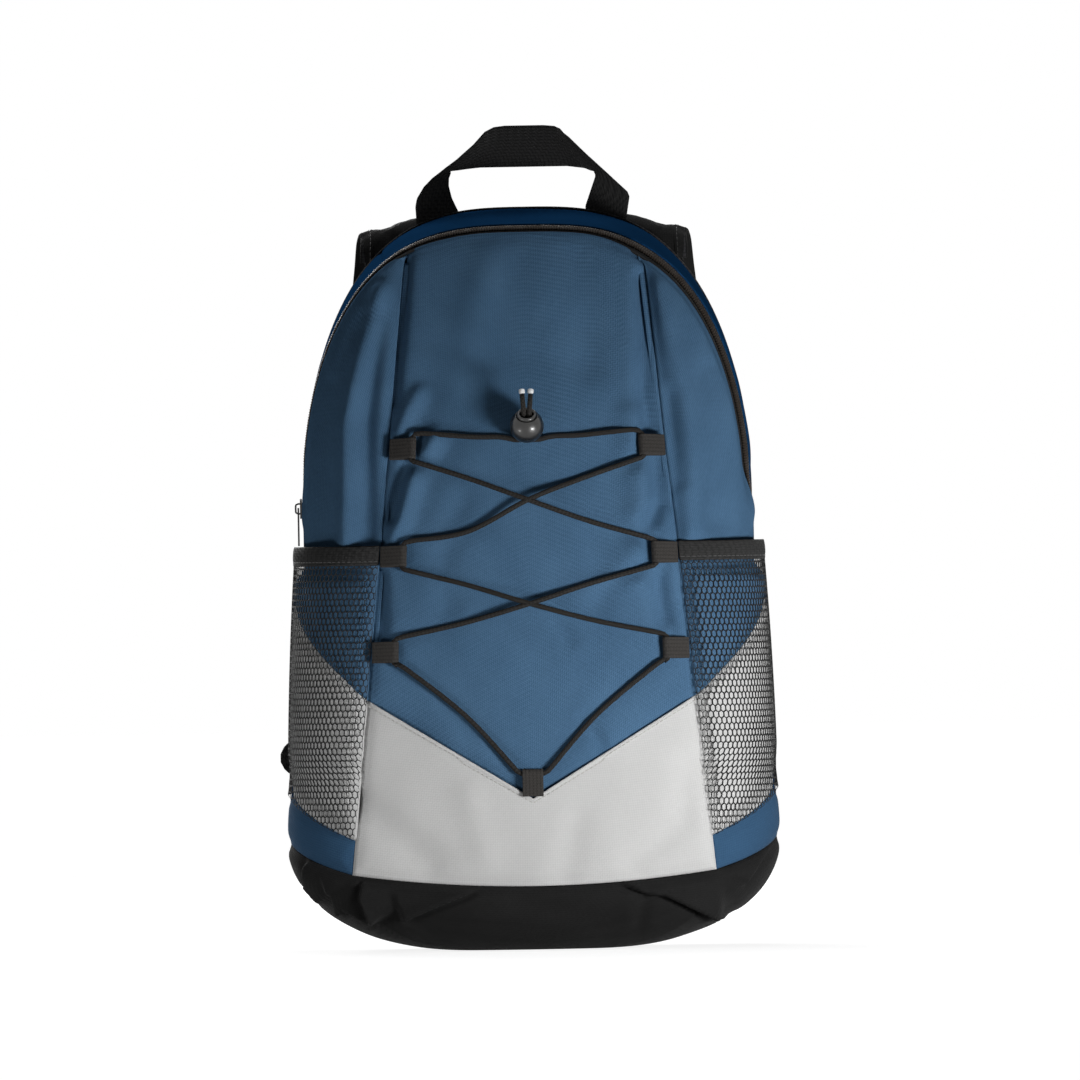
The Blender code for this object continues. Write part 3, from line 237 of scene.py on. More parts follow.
def woven(name, light, dark, yarn, relief, roughness=0.85, sheen=0.04, across=1.0, blotch=0.14,
          gloss=0.04):
    """A plain weave in two shades, dark between the yarns as painted shade and light on their
    crowns; yarn is its spacing in mm, relief its height in mm.
    """
    material, tree, shader = blank(name)
    place = add(tree, "ShaderNodeUVMap", {}, uv_map="cloth")
    split = add(tree, "ShaderNodeSeparateXYZ", {"Vector": place.outputs[0]})
    waves, cells = [], []
    for axis, spacing in ((0, yarn * across), (1, yarn)):
        step = add(tree, "ShaderNodeMath", {0: split.outputs[axis], 1: 1 / (spacing * MM)},
                   operation='MULTIPLY')
        turn = add(tree, "ShaderNodeMath", {0: step.outputs[0], 1: math.pi}, operation='MULTIPLY')
        wave = add(tree, "ShaderNodeMath", {0: turn.outputs[0]}, operation='SINE')
        crown = add(tree, "ShaderNodeMath", {0: wave.outputs[0]}, operation='ABSOLUTE')
        cell = add(tree, "ShaderNodeMath", {0: step.outputs[0]}, operation='FLOOR')
        waves.append(crown.outputs[0])
        cells.append(cell.outputs[0])
    both = add(tree, "ShaderNodeMath", {0: cells[0], 1: cells[1]}, operation='ADD')
    over = add(tree, "ShaderNodeMath", {0: both.outputs[0], 1: 2.0}, operation='FLOORED_MODULO')
    height = add(tree, "ShaderNodeMix", {0: over.outputs[0], 2: waves[0], 3: waves[1]})
    fibre, dye = (add(tree, "ShaderNodeTexNoise",
                      {"Vector": place.outputs[0], "Scale": 1 / (size * MM), "Detail": detail})
                  for size, detail in ((FIBRE_SIZE, 3.0), (DYE_SIZE, 2.0)))
    # Painted shade: the tint is dark between the yarns and light on their crowns, by the weave's
    # height.
    depth = add(tree, "ShaderNodeMath", {0: height.outputs[0], 1: YARN_SHADE, 2: DARKEST},
                operation='MULTIPLY_ADD')
    depth = add(tree, "ShaderNodeMath", {0: fibre.outputs[0], 1: FIBRE_SHADE, 2: depth.outputs[0]},
                operation='MULTIPLY_ADD')
    spread = add(tree, "ShaderNodeMath", {0: dye.outputs[0], 1: 0.5}, operation='SUBTRACT')
    depth = add(tree, "ShaderNodeMath", {0: spread.outputs[0], 1: blotch * 4, 2: depth.outputs[0]},
                operation='MULTIPLY_ADD', use_clamp=True)
    tint = add(tree, "ShaderNodeMix", {0: depth.outputs[0], 6: colour(dark), 7: colour(light)},
               data_type='RGBA')
    bump = add(tree, "ShaderNodeBump", {"Strength": 0.6, "Distance": relief * MM,
                                        "Height": height.outputs[0]})
    tree.links.new(tint.outputs[2], shader.inputs["Base Color"])
    tree.links.new(bump.outputs[0], shader.inputs["Normal"])
    for socket, value in (("Roughness", roughness), ("IOR", POLYESTER_IOR),
                          ("Specular IOR Level", gloss), ("Sheen Weight", sheen),
                          ("Sheen Roughness", 0.45)):
        shader.inputs[socket].default_value = value
    return material


blue_polyester = woven("blue polyester, plain weave", "#547696", "#2d4863", BODY_YARN, 0.2,
                       sheen=0.0, gloss=0.0)
navy_polyester = woven("navy polyester, plain weave", "#174068", "#0f2d4e", BODY_YARN, 0.12,
                       sheen=0.0, gloss=0.0)
grey_polyester = woven("grey polyester, plain weave", "#d2d2d1", "#bababa", BODY_YARN, 0.12,
                       blotch=0.08)
# Painted shade: the side strips are the body's blue cloth in a darker copy, for the shade under the
# pockets.
strip_polyester_shaded = woven("blue polyester, darker for painted shade, side strip", "#3a5a79", "#2b4763", BODY_YARN, 0.12)
black_polyester = woven("black polyester, plain weave", "#262626", "#141414", BODY_YARN, 0.16,
                        0.75, 0.02, gloss=0.03)
webbing = woven("black polypropylene webbing", "#2c2c2c", "#0c0c0c", 2.4, 0.6, 0.62, 0.02,
                across=0.8, blotch=0.05)
loop_tape = woven("black grosgrain tape", "#454341", "#211f1e", 1.0, 0.3, 0.7, 0.03,
                  across=2.2, blotch=0.05)
elastic = woven("black knitted elastic", "#3a3a3a", "#1c1c1c", 1.5, 0.4, 0.75, 0.03,
                across=3.0, blotch=0.06)
zip_cloth = woven("black zip tape", "#262626", "#151515", 1.0, 0.15, 0.8, 0.05)
spacer = woven("black spacer mesh", "#3a3a3c", "#141415", 3.2, 0.9, 0.85, 0.05, blotch=0.06)
print("yarn of the body cloth, as drawn:", BODY_YARN, "mm")

# %% [markdown]
# Yarn, cord, plastic and steel
#
# The net of the pockets is a single polyester yarn, so it has no weave, only a soft uneven gloss.
# The elastic cord has a braided sheath: two sets of slanted bands that cross, drawn from its own
# length and the way round it. Buckles and zip are moulded acetal with a fine spark-eroded grain,
# and the cord lock is smoked polycarbonate with a polished skin.

# %% Yarn, cord, plastic and steel
RUB_SIZE = 9  # patches that hands have polished
GRAIN_RELIEF, PLAIT_RELIEF = 0.1, 0.25


def moulded(name, base, roughness, grain, bump_strength, coat=0.0, metallic=0.0, ior=1.48):
    """A hard finish with a fine grain: its size in mm breaks up both gloss and shade."""
    material, tree, shader = blank(name)
    place = add(tree, "ShaderNodeTexCoord", {})
    speck, rub = (add(tree, "ShaderNodeTexNoise", {"Vector": place.outputs["Object"],
                                                   "Scale": 1 / (size * MM), "Detail": detail})
                  for size, detail in ((grain, 4.0), (RUB_SIZE, 2.0)))
    gloss, value = (add(tree, "ShaderNodeMapRange",
                        {"Value": noise.outputs[0], "From Min": 0.5 - half, "From Max": 0.5 + half,
                         "To Min": low, "To Max": high})
                    for noise, half, low, high in ((rub, 0.2, roughness * 0.8, roughness * 1.25),
                                                   (speck, 0.25, 0.8, 1.2)))
    shade = add(tree, "ShaderNodeHueSaturation", {"Color": colour(base), "Value": value.outputs[0]})
    bump = add(tree, "ShaderNodeBump", {"Strength": bump_strength, "Distance": GRAIN_RELIEF * MM,
                                        "Height": speck.outputs[0]})
    tree.links.new(shade.outputs[0], shader.inputs["Base Color"])
    tree.links.new(gloss.outputs[0], shader.inputs["Roughness"])
    tree.links.new(bump.outputs[0], shader.inputs["Normal"])
    for socket, level in (("Coat Weight", coat), ("Coat Roughness", 0.08), ("Metallic", metallic)):
        shader.inputs[socket].default_value = level
    if not metallic:
        shader.inputs["IOR"].default_value = ior
    return material


def braided(name, light, dark, plait):
    """A braided sheath: slanted bands in both directions, from the cord's own coordinates, with
    painted shade in the grooves between them.
    """
    material, tree, shader = blank(name)
    place = add(tree, "ShaderNodeUVMap", {}, uv_map="cloth")
    split = add(tree, "ShaderNodeSeparateXYZ", {"Vector": place.outputs[0]})
    bands = []
    for lean in (1, -1):
        slant = add(tree, "ShaderNodeMath", {0: split.outputs[0], 1: lean, 2: split.outputs[1]},
                    operation='MULTIPLY_ADD')
        turn = add(tree, "ShaderNodeMath", {0: slant.outputs[0], 1: 2 * math.pi / (plait * MM)},
                   operation='MULTIPLY')
        bands.append(add(tree, "ShaderNodeMath", {0: turn.outputs[0]}, operation='SINE').outputs[0])
    crest = add(tree, "ShaderNodeMath", {0: bands[0], 1: bands[1]}, operation='MAXIMUM')
    height = add(tree, "ShaderNodeMapRange",
                 {"Value": crest.outputs[0], "From Min": -1.0, "From Max": 1.0})
    # Painted shade: the sheath's colour is dark in the grooves between the bands and light on their
    # crests.
    tint = add(tree, "ShaderNodeMix", {0: height.outputs[0], 6: colour(dark), 7: colour(light)},
               data_type='RGBA')
    bump = add(tree, "ShaderNodeBump", {"Strength": 0.7, "Distance": PLAIT_RELIEF * MM,
                                        "Height": height.outputs[0]})
    tree.links.new(tint.outputs[2], shader.inputs["Base Color"])
    tree.links.new(bump.outputs[0], shader.inputs["Normal"])
    shader.inputs["Roughness"].default_value = 0.7
    shader.inputs["Specular IOR Level"].default_value = 0.1
    return material


net_yarn = moulded("black polyester net yarn", "#1a1a1a", 0.7, 0.6, 0.3, ior=1.3)
acetal = moulded("black moulded acetal", "#1b1b1c", 0.38, 0.35, 0.25)
smoked = moulded("smoked polycarbonate", "#1c1b1a", 0.3, 1.2, 0.04, coat=0.25, ior=1.5)
nylon_coil = moulded("brown-black nylon coil", "#332d28", 0.6, 0.35, 0.2, ior=1.2)
pale_tip = moulded("pale nylon cord tip", "#e4e5e6", 0.2, 1.0, 0.03, coat=0.4, ior=1.53)
spring_steel = moulded("bright spring steel", "#a4a4a4", 0.3, 0.4, 0.05, metallic=1.0)
black_thread = moulded("black bonded thread", "#131313", 0.55, 0.3, 0.2)
grey_thread = moulded("grey bonded thread", "#b4b2ae", 0.6, 0.3, 0.2)
dark_thread = moulded("charcoal bonded thread", "#4a4a4a", 0.6, 0.3, 0.2)
cord_sheath = braided("braided elastic cord", "#32302e", "#131211", 2.4)
print("materials:", len(bpy.data.materials))

# %% [markdown]
# The bag's surface
#
# The same few formulas as in the solids give the bag's outside: an arched outline that flares at
# the foot, a front that bulges and leans back to the zip, and sides that turn from the princess
# seams to the zip. Every cloth panel is sampled from them, so each one lies on its solid.

# %% The bag's surface
SPRING, ZIP_TOP, BACK_TOP, HALF_WIDTH = 270.0, 432.5, 446.0, 135.0
BACK_Y, ZIP_Y, GUSSET_REAR = 62.0, -10.0, 60.1
SEAM_TOP_X, SEAM_BASE_X, BASE_SEAM = 71.0, 109.0, 46.5
V_POINT, V_SHOULDER, GREY_SIDE = 90.5, 150.5, 212.0
STRIP_SEAM, STRIP_SIDE, BASE_SIDE = 67.0, 95.0, 65.0
HEM_LOW, HEM_TOP, ZIP_END, ZIP_ROLL = 231.5, 243.0, 260.0, 8.0
FLARE_TOP, FLARE_RUN, EDGE_FLARE, BACK_FLARE = 175, 105, 12.5, 9.0
FRONT_BULGE, SEAM_BULGE, BULGE_HEIGHT, BASE_FRONT = 64.0, 52.0, 120, 38.5
SIDE_FULLNESS, SIDE_BOW, BOW_FADE = 0.13, 6.0, 60
STRAIGHT_SHARE, CROWDING = 0.1, 1.6  # of an arch's points: below it, and crowded to its top


def lerp(low, high, share):
    return low + (high - low) * share


def smooth(share):
    share = np.clip(share, 0.0, 1.0)
    return share * share * (3 - 2 * share)


def hump(share):
    """Zero at both ends and one in the middle."""
    return 4 * share * (1 - share)


def half_width(z, top, extra):
    """Half width of an arched outline that flares at the foot."""
    rise = np.clip((z - SPRING) / (top - SPRING), 0.0, 1.0)
    return np.where(z <= SPRING, HALF_WIDTH + extra * smooth((FLARE_TOP - z) / FLARE_RUN),
                    HALF_WIDTH * (1 - rise ** 2) ** (1 / 3))


def edge_x(z):
    return half_width(z, ZIP_TOP, EDGE_FLARE)


def back_x(z):
    return half_width(z, BACK_TOP, BACK_FLARE)


def zip_height(x):
    return lerp(SPRING, ZIP_TOP, np.sqrt(1 - np.clip(np.abs(x) / HALF_WIDTH, 0, 1) ** 3))


SEAM_TOP = float(zip_height(SEAM_TOP_X))


def seam_x(z):
    return lerp(SEAM_BASE_X, SEAM_TOP_X, (z - BASE_SEAM) / (SEAM_TOP - BASE_SEAM))


def front_y(x, z):
    bulge = lerp(FRONT_BULGE, SEAM_BULGE, np.clip(np.abs(x) / seam_x(z), 0, 1) ** 2)
    up = np.maximum((z - BULGE_HEIGHT) / (zip_height(x) - BULGE_HEIGHT), 0.0)
    return ZIP_Y - bulge * (1 - up ** 2)


def base_edge(x):
    return lerp(BASE_FRONT, BASE_SEAM, (x / SEAM_BASE_X) ** 2)


def front_point(side, share):
    """The front from the left seam (side -1) to the right (1), from base (share 0) to zip (1)."""
    x = lerp(side * SEAM_BASE_X, side * SEAM_TOP_X, share)
    z = lerp(base_edge(side * SEAM_BASE_X), zip_height(side * SEAM_TOP_X), share)
    return np.stack([x, front_y(x, z), z], axis=-1)


def v_share(side):
    """Share of a front column's height at which it crosses the V seam."""
    low = base_edge(side * SEAM_BASE_X)
    rise = zip_height(side * SEAM_TOP_X) - low
    reach = (V_SHOULDER - V_POINT) / seam_x(V_SHOULDER) * np.abs(side)
    return (V_POINT + reach * SEAM_BASE_X - low) / (rise + reach * (SEAM_BASE_X - SEAM_TOP_X))


def side_point(share, z):
    """The right side of the front, from the princess seam (share 0) to the side edge (1)."""
    seam, edge = seam_x(z), edge_x(z)
    start = front_y(seam, z)
    across, back = edge - seam, ZIP_Y - start
    swell = SIDE_FULLNESS * hump(share)
    return np.stack([seam + across * share + back * swell, start + back * share - across * swell,
                     z + 0 * share], axis=-1)


def bow(z):
    return SIDE_BOW * smooth((z - STRIP_SIDE) / BOW_FADE) * (1 - smooth((z - HEM_TOP) / BOW_FADE))


def gusset_side(share, z):
    """The right side gusset, from the side edge (share 0) to the back (1)."""
    x = lerp(edge_x(z), back_x(z), share) - bow(z) * hump(share)
    return np.stack([x, lerp(ZIP_Y, GUSSET_REAR, share) + 0 * z, z + 0 * share], axis=-1)


TUCK_LEFT, TUCK_RIGHT, TUCK_MORE = 1.4, 3.6, 3.0  # the zip draws the cloth in, more to the right


def tucked(grid, away):
    """Points drawn in to the zip's edge; away is how far in mm each one lies from that edge."""
    x, z = grid[..., 0], grid[..., 2]
    out = np.stack([3 * x * np.abs(x) / HALF_WIDTH ** 3, 0 * x,
                    2 * np.maximum(z - SPRING, 0) / (ZIP_TOP - SPRING) ** 2], axis=-1)
    out = out / np.maximum(np.linalg.norm(out, axis=-1, keepdims=True), 1e-9)
    depth = lerp(TUCK_LEFT, TUCK_RIGHT, smooth((x + 90) / 45)) + TUCK_MORE * smooth((x - 35) / 50)
    depth = depth * smooth((z - ZIP_END) / 30) * np.exp(-(away / ZIP_ROLL) ** 2)
    return grid - out * depth[..., None]


def gusset_arch(along, reach):
    """The zipped gusset: along runs from -1 at its left end to 1, reach is from its front."""
    climb = 1 - np.abs(along)
    share = reach / (GUSSET_REAR - ZIP_Y)
    rise = np.clip((climb - STRAIGHT_SHARE) / (1 - STRAIGHT_SHARE), 0, 1)
    turn = math.pi / 2 * (1 - (1 - rise) ** CROWDING)
    z = lerp(lerp(SPRING, ZIP_TOP, np.sin(turn)), lerp(SPRING, BACK_TOP, np.sin(turn)), share)
    z = np.where(climb < STRAIGHT_SHARE, lerp(ZIP_END, SPRING, climb / STRAIGHT_SHARE), z)
    x = HALF_WIDTH * np.clip(np.cos(turn), 0, None) ** (2 / 3) - bow(z) * hump(share)
    y = lerp(ZIP_Y, GUSSET_REAR, share) + 0 * z
    return tucked(np.stack([np.sign(along) * x, y, z], axis=-1), reach)


SEAT, TURN_Y, CLOSING, NET_GAP = 1.4, 2.0, 28.0, 0.8
HEM_HALF_WIDTH, POCKET_SWELL, PROBE = 140.6, 4.8, 0.02
FILL_TOP, FILL_FADE = 219, 12  # the bag's side lies against the net up to this height


def pocket_floor(around):
    return lerp(STRIP_SEAM, STRIP_SIDE, np.minimum(around * 2, 1))


def under_pocket(around, z):
    """The bag's own surface below the pocket, from the princess seam (0) to the back (1)."""
    front_part = side_point(np.minimum(around * 2, 1), z)
    rear_part = gusset_side(np.maximum(around * 2 - 1, 0), z)
    return np.where((around < 0.5)[..., None], front_part, rear_part)


def pocket_point(around, z):
    """Outer face of the right pocket: it closes on to the bag at its floor."""
    share = np.clip((z - STRIP_SIDE) / (HEM_TOP - STRIP_SIDE), -0.3, 1.1)
    wide = lerp(float(edge_x(np.array(STRIP_SIDE))) + SEAT, HEM_HALF_WIDTH, share)
    wide = wide + POCKET_SWELL * share * (1 - share)
    seam = seam_x(z)
    rear_x, rear_y = back_x(z) + SEAT, GUSSET_REAR - 3
    behind = np.clip(2 * around - 1, 0, 1)
    turn = math.pi * np.minimum(around, 0.5)
    x = np.where(around < 0.5, lerp(seam, wide, np.sin(turn)), lerp(wide, rear_x, behind ** 2))
    y = np.where(around < 0.5, lerp(TURN_Y, front_y(seam, z) - SEAT, np.cos(turn)),
                 lerp(TURN_Y, rear_y, behind))
    ahead = (under_pocket(np.minimum(around + PROBE, 1), z)
             - under_pocket(np.maximum(around - PROBE, 0), z))
    away = np.stack([ahead[..., 1], -ahead[..., 0], 0 * z], axis=-1)
    hugging = under_pocket(around, z) + SEAT * away / np.linalg.norm(away, axis=-1, keepdims=True)
    hugging[..., 1] = np.minimum(hugging[..., 1], rear_y)
    opening = smooth((z - pocket_floor(around)) / CLOSING)[..., None]
    return lerp(hugging, np.stack([x, y, z + 0 * around], axis=-1), opening)


def filled(grid, around):
    """Cloth of the right side, swollen under the pocket until it nearly touches the net."""
    z = grid[..., 2]
    reach = pocket_point(around, z) - grid
    gap = np.maximum(np.linalg.norm(reach, axis=-1), NET_GAP)
    share = smooth((z - pocket_floor(around) - 3) / FILL_FADE)
    share = share * (1 - smooth((z - FILL_TOP) / FILL_FADE))
    share = share * smooth(around / 0.06) * (1 - smooth((around - 0.8) / 0.2))
    return grid + reach * (share * (1 - NET_GAP / gap))[..., None]


print("princess seams end at", round(SEAM_TOP, 1), "mm")

# %% [markdown]
# Meshes from grids
#
# Nearly every soft piece is a grid of points on a surface, so one helper makes its mesh. It also
# lays the cloth coordinates: the lengths along the rows and the columns. Another moves a grid's
# points along its normals, and this is how panels swell between their seams and how folds rise.

# %% Meshes from grids
def grid_faces(rows, columns, closed=False):
    """Quads of a grid; a closed grid joins its last column to its first."""
    index = np.arange(rows * columns).reshape(rows, columns)
    right = np.roll(index, -1, axis=1)
    if not closed:
        index, right = index[:, :-1], right[:, :-1]
    corners = [index[:-1], right[:-1], right[1:], index[1:]]
    return np.stack(corners, axis=-1).reshape(-1, 4).tolist()


def lengths(grid):
    """Cloth coordinates of a grid, in mm along its rows and its columns."""
    u = np.zeros(grid.shape[:2])
    v = np.zeros(grid.shape[:2])
    u[:, 1:] = np.cumsum(np.linalg.norm(np.diff(grid, axis=1), axis=-1), axis=1)
    v[1:] = np.cumsum(np.linalg.norm(np.diff(grid, axis=0), axis=-1), axis=0)
    return u - u[:, u.shape[1] // 2][:, None], v


def run_length(line):
    """Length from the first point of a line to each of its points."""
    return np.concatenate([[0], np.cumsum(np.linalg.norm(np.diff(line, axis=0), axis=1))])


def even_steps(line, steps):
    """Points at even steps along a line."""
    run = run_length(line)
    spots = np.linspace(0, run[-1], steps + 1)
    return np.stack([np.interp(spots, run, line[:, axis]) for axis in range(3)], axis=-1)


def piece(name, points, faces, finish, cloth=None, sharp=False):
    """An object from points in mm, with its finish and its cloth coordinates."""
    mesh = bpy.data.meshes.new(name)
    mesh.from_pydata((np.asarray(points, float).reshape(-1, 3) * MM).tolist(), [], faces)
    if not sharp:
        mesh.polygons.foreach_set("use_smooth", [True] * len(mesh.polygons))
    if cloth is not None:
        corners = np.empty(len(mesh.loops), np.int32)
        mesh.loops.foreach_get("vertex_index", corners)
        layer = mesh.uv_layers.new(name="cloth")
        layer.data.foreach_set("uv", (np.asarray(cloth).reshape(-1, 2)[corners] * MM).ravel())
    mesh.materials.append(finish)
    thing = bpy.data.objects.new(name, mesh)
    bpy.context.scene.collection.objects.link(thing)
    return thing


def normals(grid):
    """Unit normals of a grid's points."""
    n = np.cross(np.gradient(grid, axis=1), np.gradient(grid, axis=0))
    return n / np.maximum(np.linalg.norm(n, axis=-1, keepdims=True), 1e-9)


BAG_MIDDLE, REARWARD = np.array([0.0, 26.0, 230.0]), np.array([0.0, 1.0, 0.0])


def outward(grid):
    """Normals of a grid of the bag, turned away from its middle."""
    n = normals(grid)
    facing = np.sum(n * (grid - BAG_MIDDLE), axis=-1)
    return n if np.median(facing) > 0 else -n


def thicken(thing, thickness, offset=-1):
    """Give a sheet its thickness in mm, to its inner side or, at offset 0, to both sides."""
    body = thing.modifiers.new("thickness", 'SOLIDIFY')
    body.thickness = thickness * MM
    body.offset = offset
    return thing


def cloth_piece(name, grid, finish, thickness, closed=False, outside=None, offset=-1):
    """A sheet of cloth from a grid; outside says which way its face looks, one or per point."""
    rows, columns = grid.shape[:2]
    u, v = lengths(grid)
    faces = grid_faces(rows, columns, closed)
    away = outward(grid) if outside is None else outside
    if np.mean(np.sum(normals(grid) * away, axis=-1)) < 0:
        faces = [face[::-1] for face in faces]
    return thicken(piece(name, grid, faces, finish, np.stack([u, v], axis=-1)), thickness, offset)


def dress(thing, body, slot, *nodes):
    """The piece rides on a body and stands for solids, which it hides; slot is not used."""
    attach(thing, body)
    if nodes:
        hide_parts(*nodes)
    return thing


def edge_distance(grid):
    """Distance in mm from each point to the nearest edge of its panel, along rows and columns."""
    u, v = lengths(grid)
    u = u - u[:, :1]
    return np.minimum(np.minimum(u, u[:, -1:] - u), np.minimum(v, v[-1:] - v))


SIDES = (("left", -1), ("right", 1))
print("faces in a grid of 3 by 3 points:", len(grid_faces(3, 3)))

# %% [markdown]
# Elastic lacing
#
# One cord of 3 mm runs from its first tail down through the cord lock, out to the loops, crosses
# twice, turns in the loop at the point of the V and goes back up to its second tail. The route is
# the one of the solid: straight runs that lie just off the cloth, folds round the inside of each
# loop, and a slack run to the left middle loop. A tube around those points is made by hand rather
# than as a bevelled curve, so that it can carry the coordinates for its braid.

# %% Elastic lacing
CORD_RADIUS, CORD_GAP, CORD_LIFT, CROSSING_LIFT = 1.5, 0.35, 2.1, 5.6
LOOP_TAPE, LOOP_WIDTH, LOOP_LENGTH, LOOP_SEAT = 0.9, 12.5, 16.0, 0.4
LOOP_HEIGHTS, V_LOOP_HEIGHT, CROSSINGS = (300.0, 236.0, 179.0), 92.0, (269.0, 207.0)
LOCK_RADIUS, LOCK_HEIGHT, LOCK_STANDOFF, LOCK_TILT = 10.2, 313.0, 4.0, math.radians(40)
PLUNGER_HIGH, STRAND_OFFSET, TAIL_LENGTH, TAIL_SPREAD, CORD_SLACK = 10.2, 1.75, 11.0, 2.5, 5.0
LOOP_FOLD, LOOP_INSET = CORD_RADIUS + CORD_GAP + LOOP_TAPE / 2, 1.4
lock_axis = Vector((0, -math.sin(LOCK_TILT), math.cos(LOCK_TILT)))
lock_centre = Vector((0, float(front_y(0, LOCK_HEIGHT)) - LOCK_RADIUS - LOCK_STANDOFF, LOCK_HEIGHT))


def on_front(x, z, lift=0.0):
    return Vector((x, float(front_y(x, z)) - lift, z))


def loop_frame(root, toward):
    """A frame on the front: X from the seam to the fold, Y off the cloth, Z across the tape."""
    along = (toward - root).normalized()
    right = on_front(root.x + LOOP_TAPE, root.z) - root
    up = on_front(root.x, root.z + LOOP_TAPE) - root
    off = right.cross(up).normalized()
    off = (off - along * off.dot(along)).normalized()
    off = -off if off.y > 0 else off
    matrix = Matrix((along, off, along.cross(off))).transposed().to_4x4()
    matrix.translation = root
    return matrix


def loop_root_x(z):
    return float(seam_x(z)) - LOOP_INSET


def side_loop_frame(side, z):
    x = loop_root_x(z)
    return loop_frame(on_front(side * x, z), on_front(side * (x - LOOP_LENGTH), z))


v_loop_frame = loop_frame(on_front(0, V_LOOP_HEIGHT), on_front(0, V_LOOP_HEIGHT + LOOP_LENGTH))


def half_lacing(slack):
    """One half of the cord, from its tail to the loop at the V: x, height off the cloth, z."""
    half = LOOP_WIDTH / 2
    route = []

    def in_lock(x, along, up=0.0):
        spot = lock_centre + lock_axis * along
        route.append(Vector((x, float(front_y(x, spot.z + up)) - spot.y, spot.z + up)))

    def on_cloth(x, z, lift=CORD_LIFT):
        route.append(Vector((x, lift, z)))

    def mid_run(side, height, edge, crossing, sag=0.0):
        x = side * (loop_root_x(height) - LOOP_LENGTH) / 2
        on_cloth(x, (height + edge + crossing) / 2 - sag)

    def in_loop(place, across, beyond=0.0):
        spot = place @ Vector((LOOP_LENGTH - LOOP_FOLD + beyond,
                               LOOP_TAPE / 2 + LOOP_SEAT + LOOP_FOLD, across))
        route.append(Vector((spot.x, float(front_y(spot.x, spot.z)) - spot.y, spot.z)))

    def through_loop(side, z):
        place = side_loop_frame(side, z)
        down = -1 if place.col[2].z > 0 else 1
        bends = [(2 * CORD_RADIUS, 4 * CORD_RADIUS), (CORD_RADIUS, CORD_RADIUS), (CORD_GAP, 0.0)]
        for end in (-1, 1):
            for out, beyond in bends if end < 0 else reversed(bends):
                in_loop(place, end * down * (half + out), beyond)

    in_lock(-TAIL_SPREAD, PLUNGER_HIGH, TAIL_LENGTH)
    in_lock(-STRAND_OFFSET, PLUNGER_HIGH + CORD_RADIUS)
    in_lock(-STRAND_OFFSET, 0)
    in_lock(-STRAND_OFFSET, -LOCK_RADIUS)
    in_lock(-2 * CORD_RADIUS, -LOCK_RADIUS - CORD_RADIUS, CORD_RADIUS / 2)
    on_cloth(-0.7 * LOCK_RADIUS, LOCK_HEIGHT - 0.8 * LOCK_RADIUS, 1.5 * CORD_LIFT)
    on_cloth(-1.6 * LOCK_RADIUS, LOCK_HEIGHT - 0.62 * LOCK_RADIUS)
    mid_run(-1, LOOP_HEIGHTS[0], half, LOCK_HEIGHT - LOCK_RADIUS / 2)
    through_loop(-1, LOOP_HEIGHTS[0])
    mid_run(-1, LOOP_HEIGHTS[0], -half, CROSSINGS[0])
    on_cloth(0, CROSSINGS[0], CROSSING_LIFT)
    mid_run(1, LOOP_HEIGHTS[1], half, CROSSINGS[0], slack)
    through_loop(1, LOOP_HEIGHTS[1])
    mid_run(1, LOOP_HEIGHTS[1], -half, CROSSINGS[1])
    on_cloth(0, CROSSINGS[1], CROSSING_LIFT)
    mid_run(-1, LOOP_HEIGHTS[2], half, CROSSINGS[1])
    through_loop(-1, LOOP_HEIGHTS[2])
    mid_run(-1, LOOP_HEIGHTS[2], -half, V_LOOP_HEIGHT + LOOP_LENGTH)
    left = -1 if v_loop_frame.col[2].x > 0 else 1
    in_loop(v_loop_frame, left * (half + 2 * CORD_RADIUS), CORD_RADIUS)
    in_loop(v_loop_frame, left * (half + CORD_GAP))
    in_loop(v_loop_frame, 0)
    return route


def smooth_path(points, spacing):
    """Points along a Catmull-Rom curve through the given ones, about a spacing apart."""
    padded = [2 * points[0] - points[1], *points, 2 * points[-1] - points[-2]]
    path = []
    for a, b, c, d in zip(padded, padded[1:], padded[2:], padded[3:]):
        steps = max(round((c - b).length / spacing), 1)
        for k in range(steps):
            t = k / steps
            path.append(0.5 * (2 * b + (c - a) * t + (2 * a - 5 * b + 4 * c - d) * t ** 2
                               + (3 * b - a - 3 * c + d) * t ** 3))
    return path + [points[-1].copy()]


def tube(name, line, radius, finish, around=12):
    """A round tube along a line of points, closed at its ends; radius may differ along it."""
    line = np.array(line, float)
    radius = np.broadcast_to(radius, len(line))
    ahead = np.gradient(line, axis=0)
    ahead /= np.linalg.norm(ahead, axis=1, keepdims=True)
    side = np.cross(ahead[0], (0.3, 0.5, 0.8))
    rings = []
    for k, tangent in enumerate(ahead):
        side = side - tangent * side.dot(tangent)
        side = side / np.linalg.norm(side)
        other = np.cross(tangent, side)
        turn = np.linspace(0, 2 * math.pi, around + 1)[:, None]
        rings.append(line[k] + radius[k] * (np.cos(turn) * side + np.sin(turn) * other))
    grid = np.array(rings)
    u, v = lengths(grid)
    faces = [face[::-1] for face in grid_faces(*grid.shape[:2])]
    thing = piece(name, grid, faces, finish, np.stack([u, v], axis=-1))
    shape = bmesh.new()
    shape.from_mesh(thing.data)
    bmesh.ops.remove_doubles(shape, verts=shape.verts, dist=1e-6)
    bmesh.ops.holes_fill(shape, edges=[edge for edge in shape.edges if edge.is_boundary])
    bmesh.ops.recalc_face_normals(shape, faces=shape.faces)
    shape.to_mesh(thing.data)
    shape.free()
    return thing


first = half_lacing(0.0)
second = [Vector((-spot.x, CORD_LIFT if spot.y == CROSSING_LIFT else spot.y, spot.z))
          for spot in half_lacing(CORD_SLACK)[:-1]]
route = smooth_path(first + second[::-1], 3.0)
cord_line = [on_front(spot.x, spot.z, spot.y) for spot in route]
cord = tube("lacing_cord", cord_line, CORD_RADIUS, cord_sheath)
dress(cord, "bag", "elastic_cord", "elastic_cord")

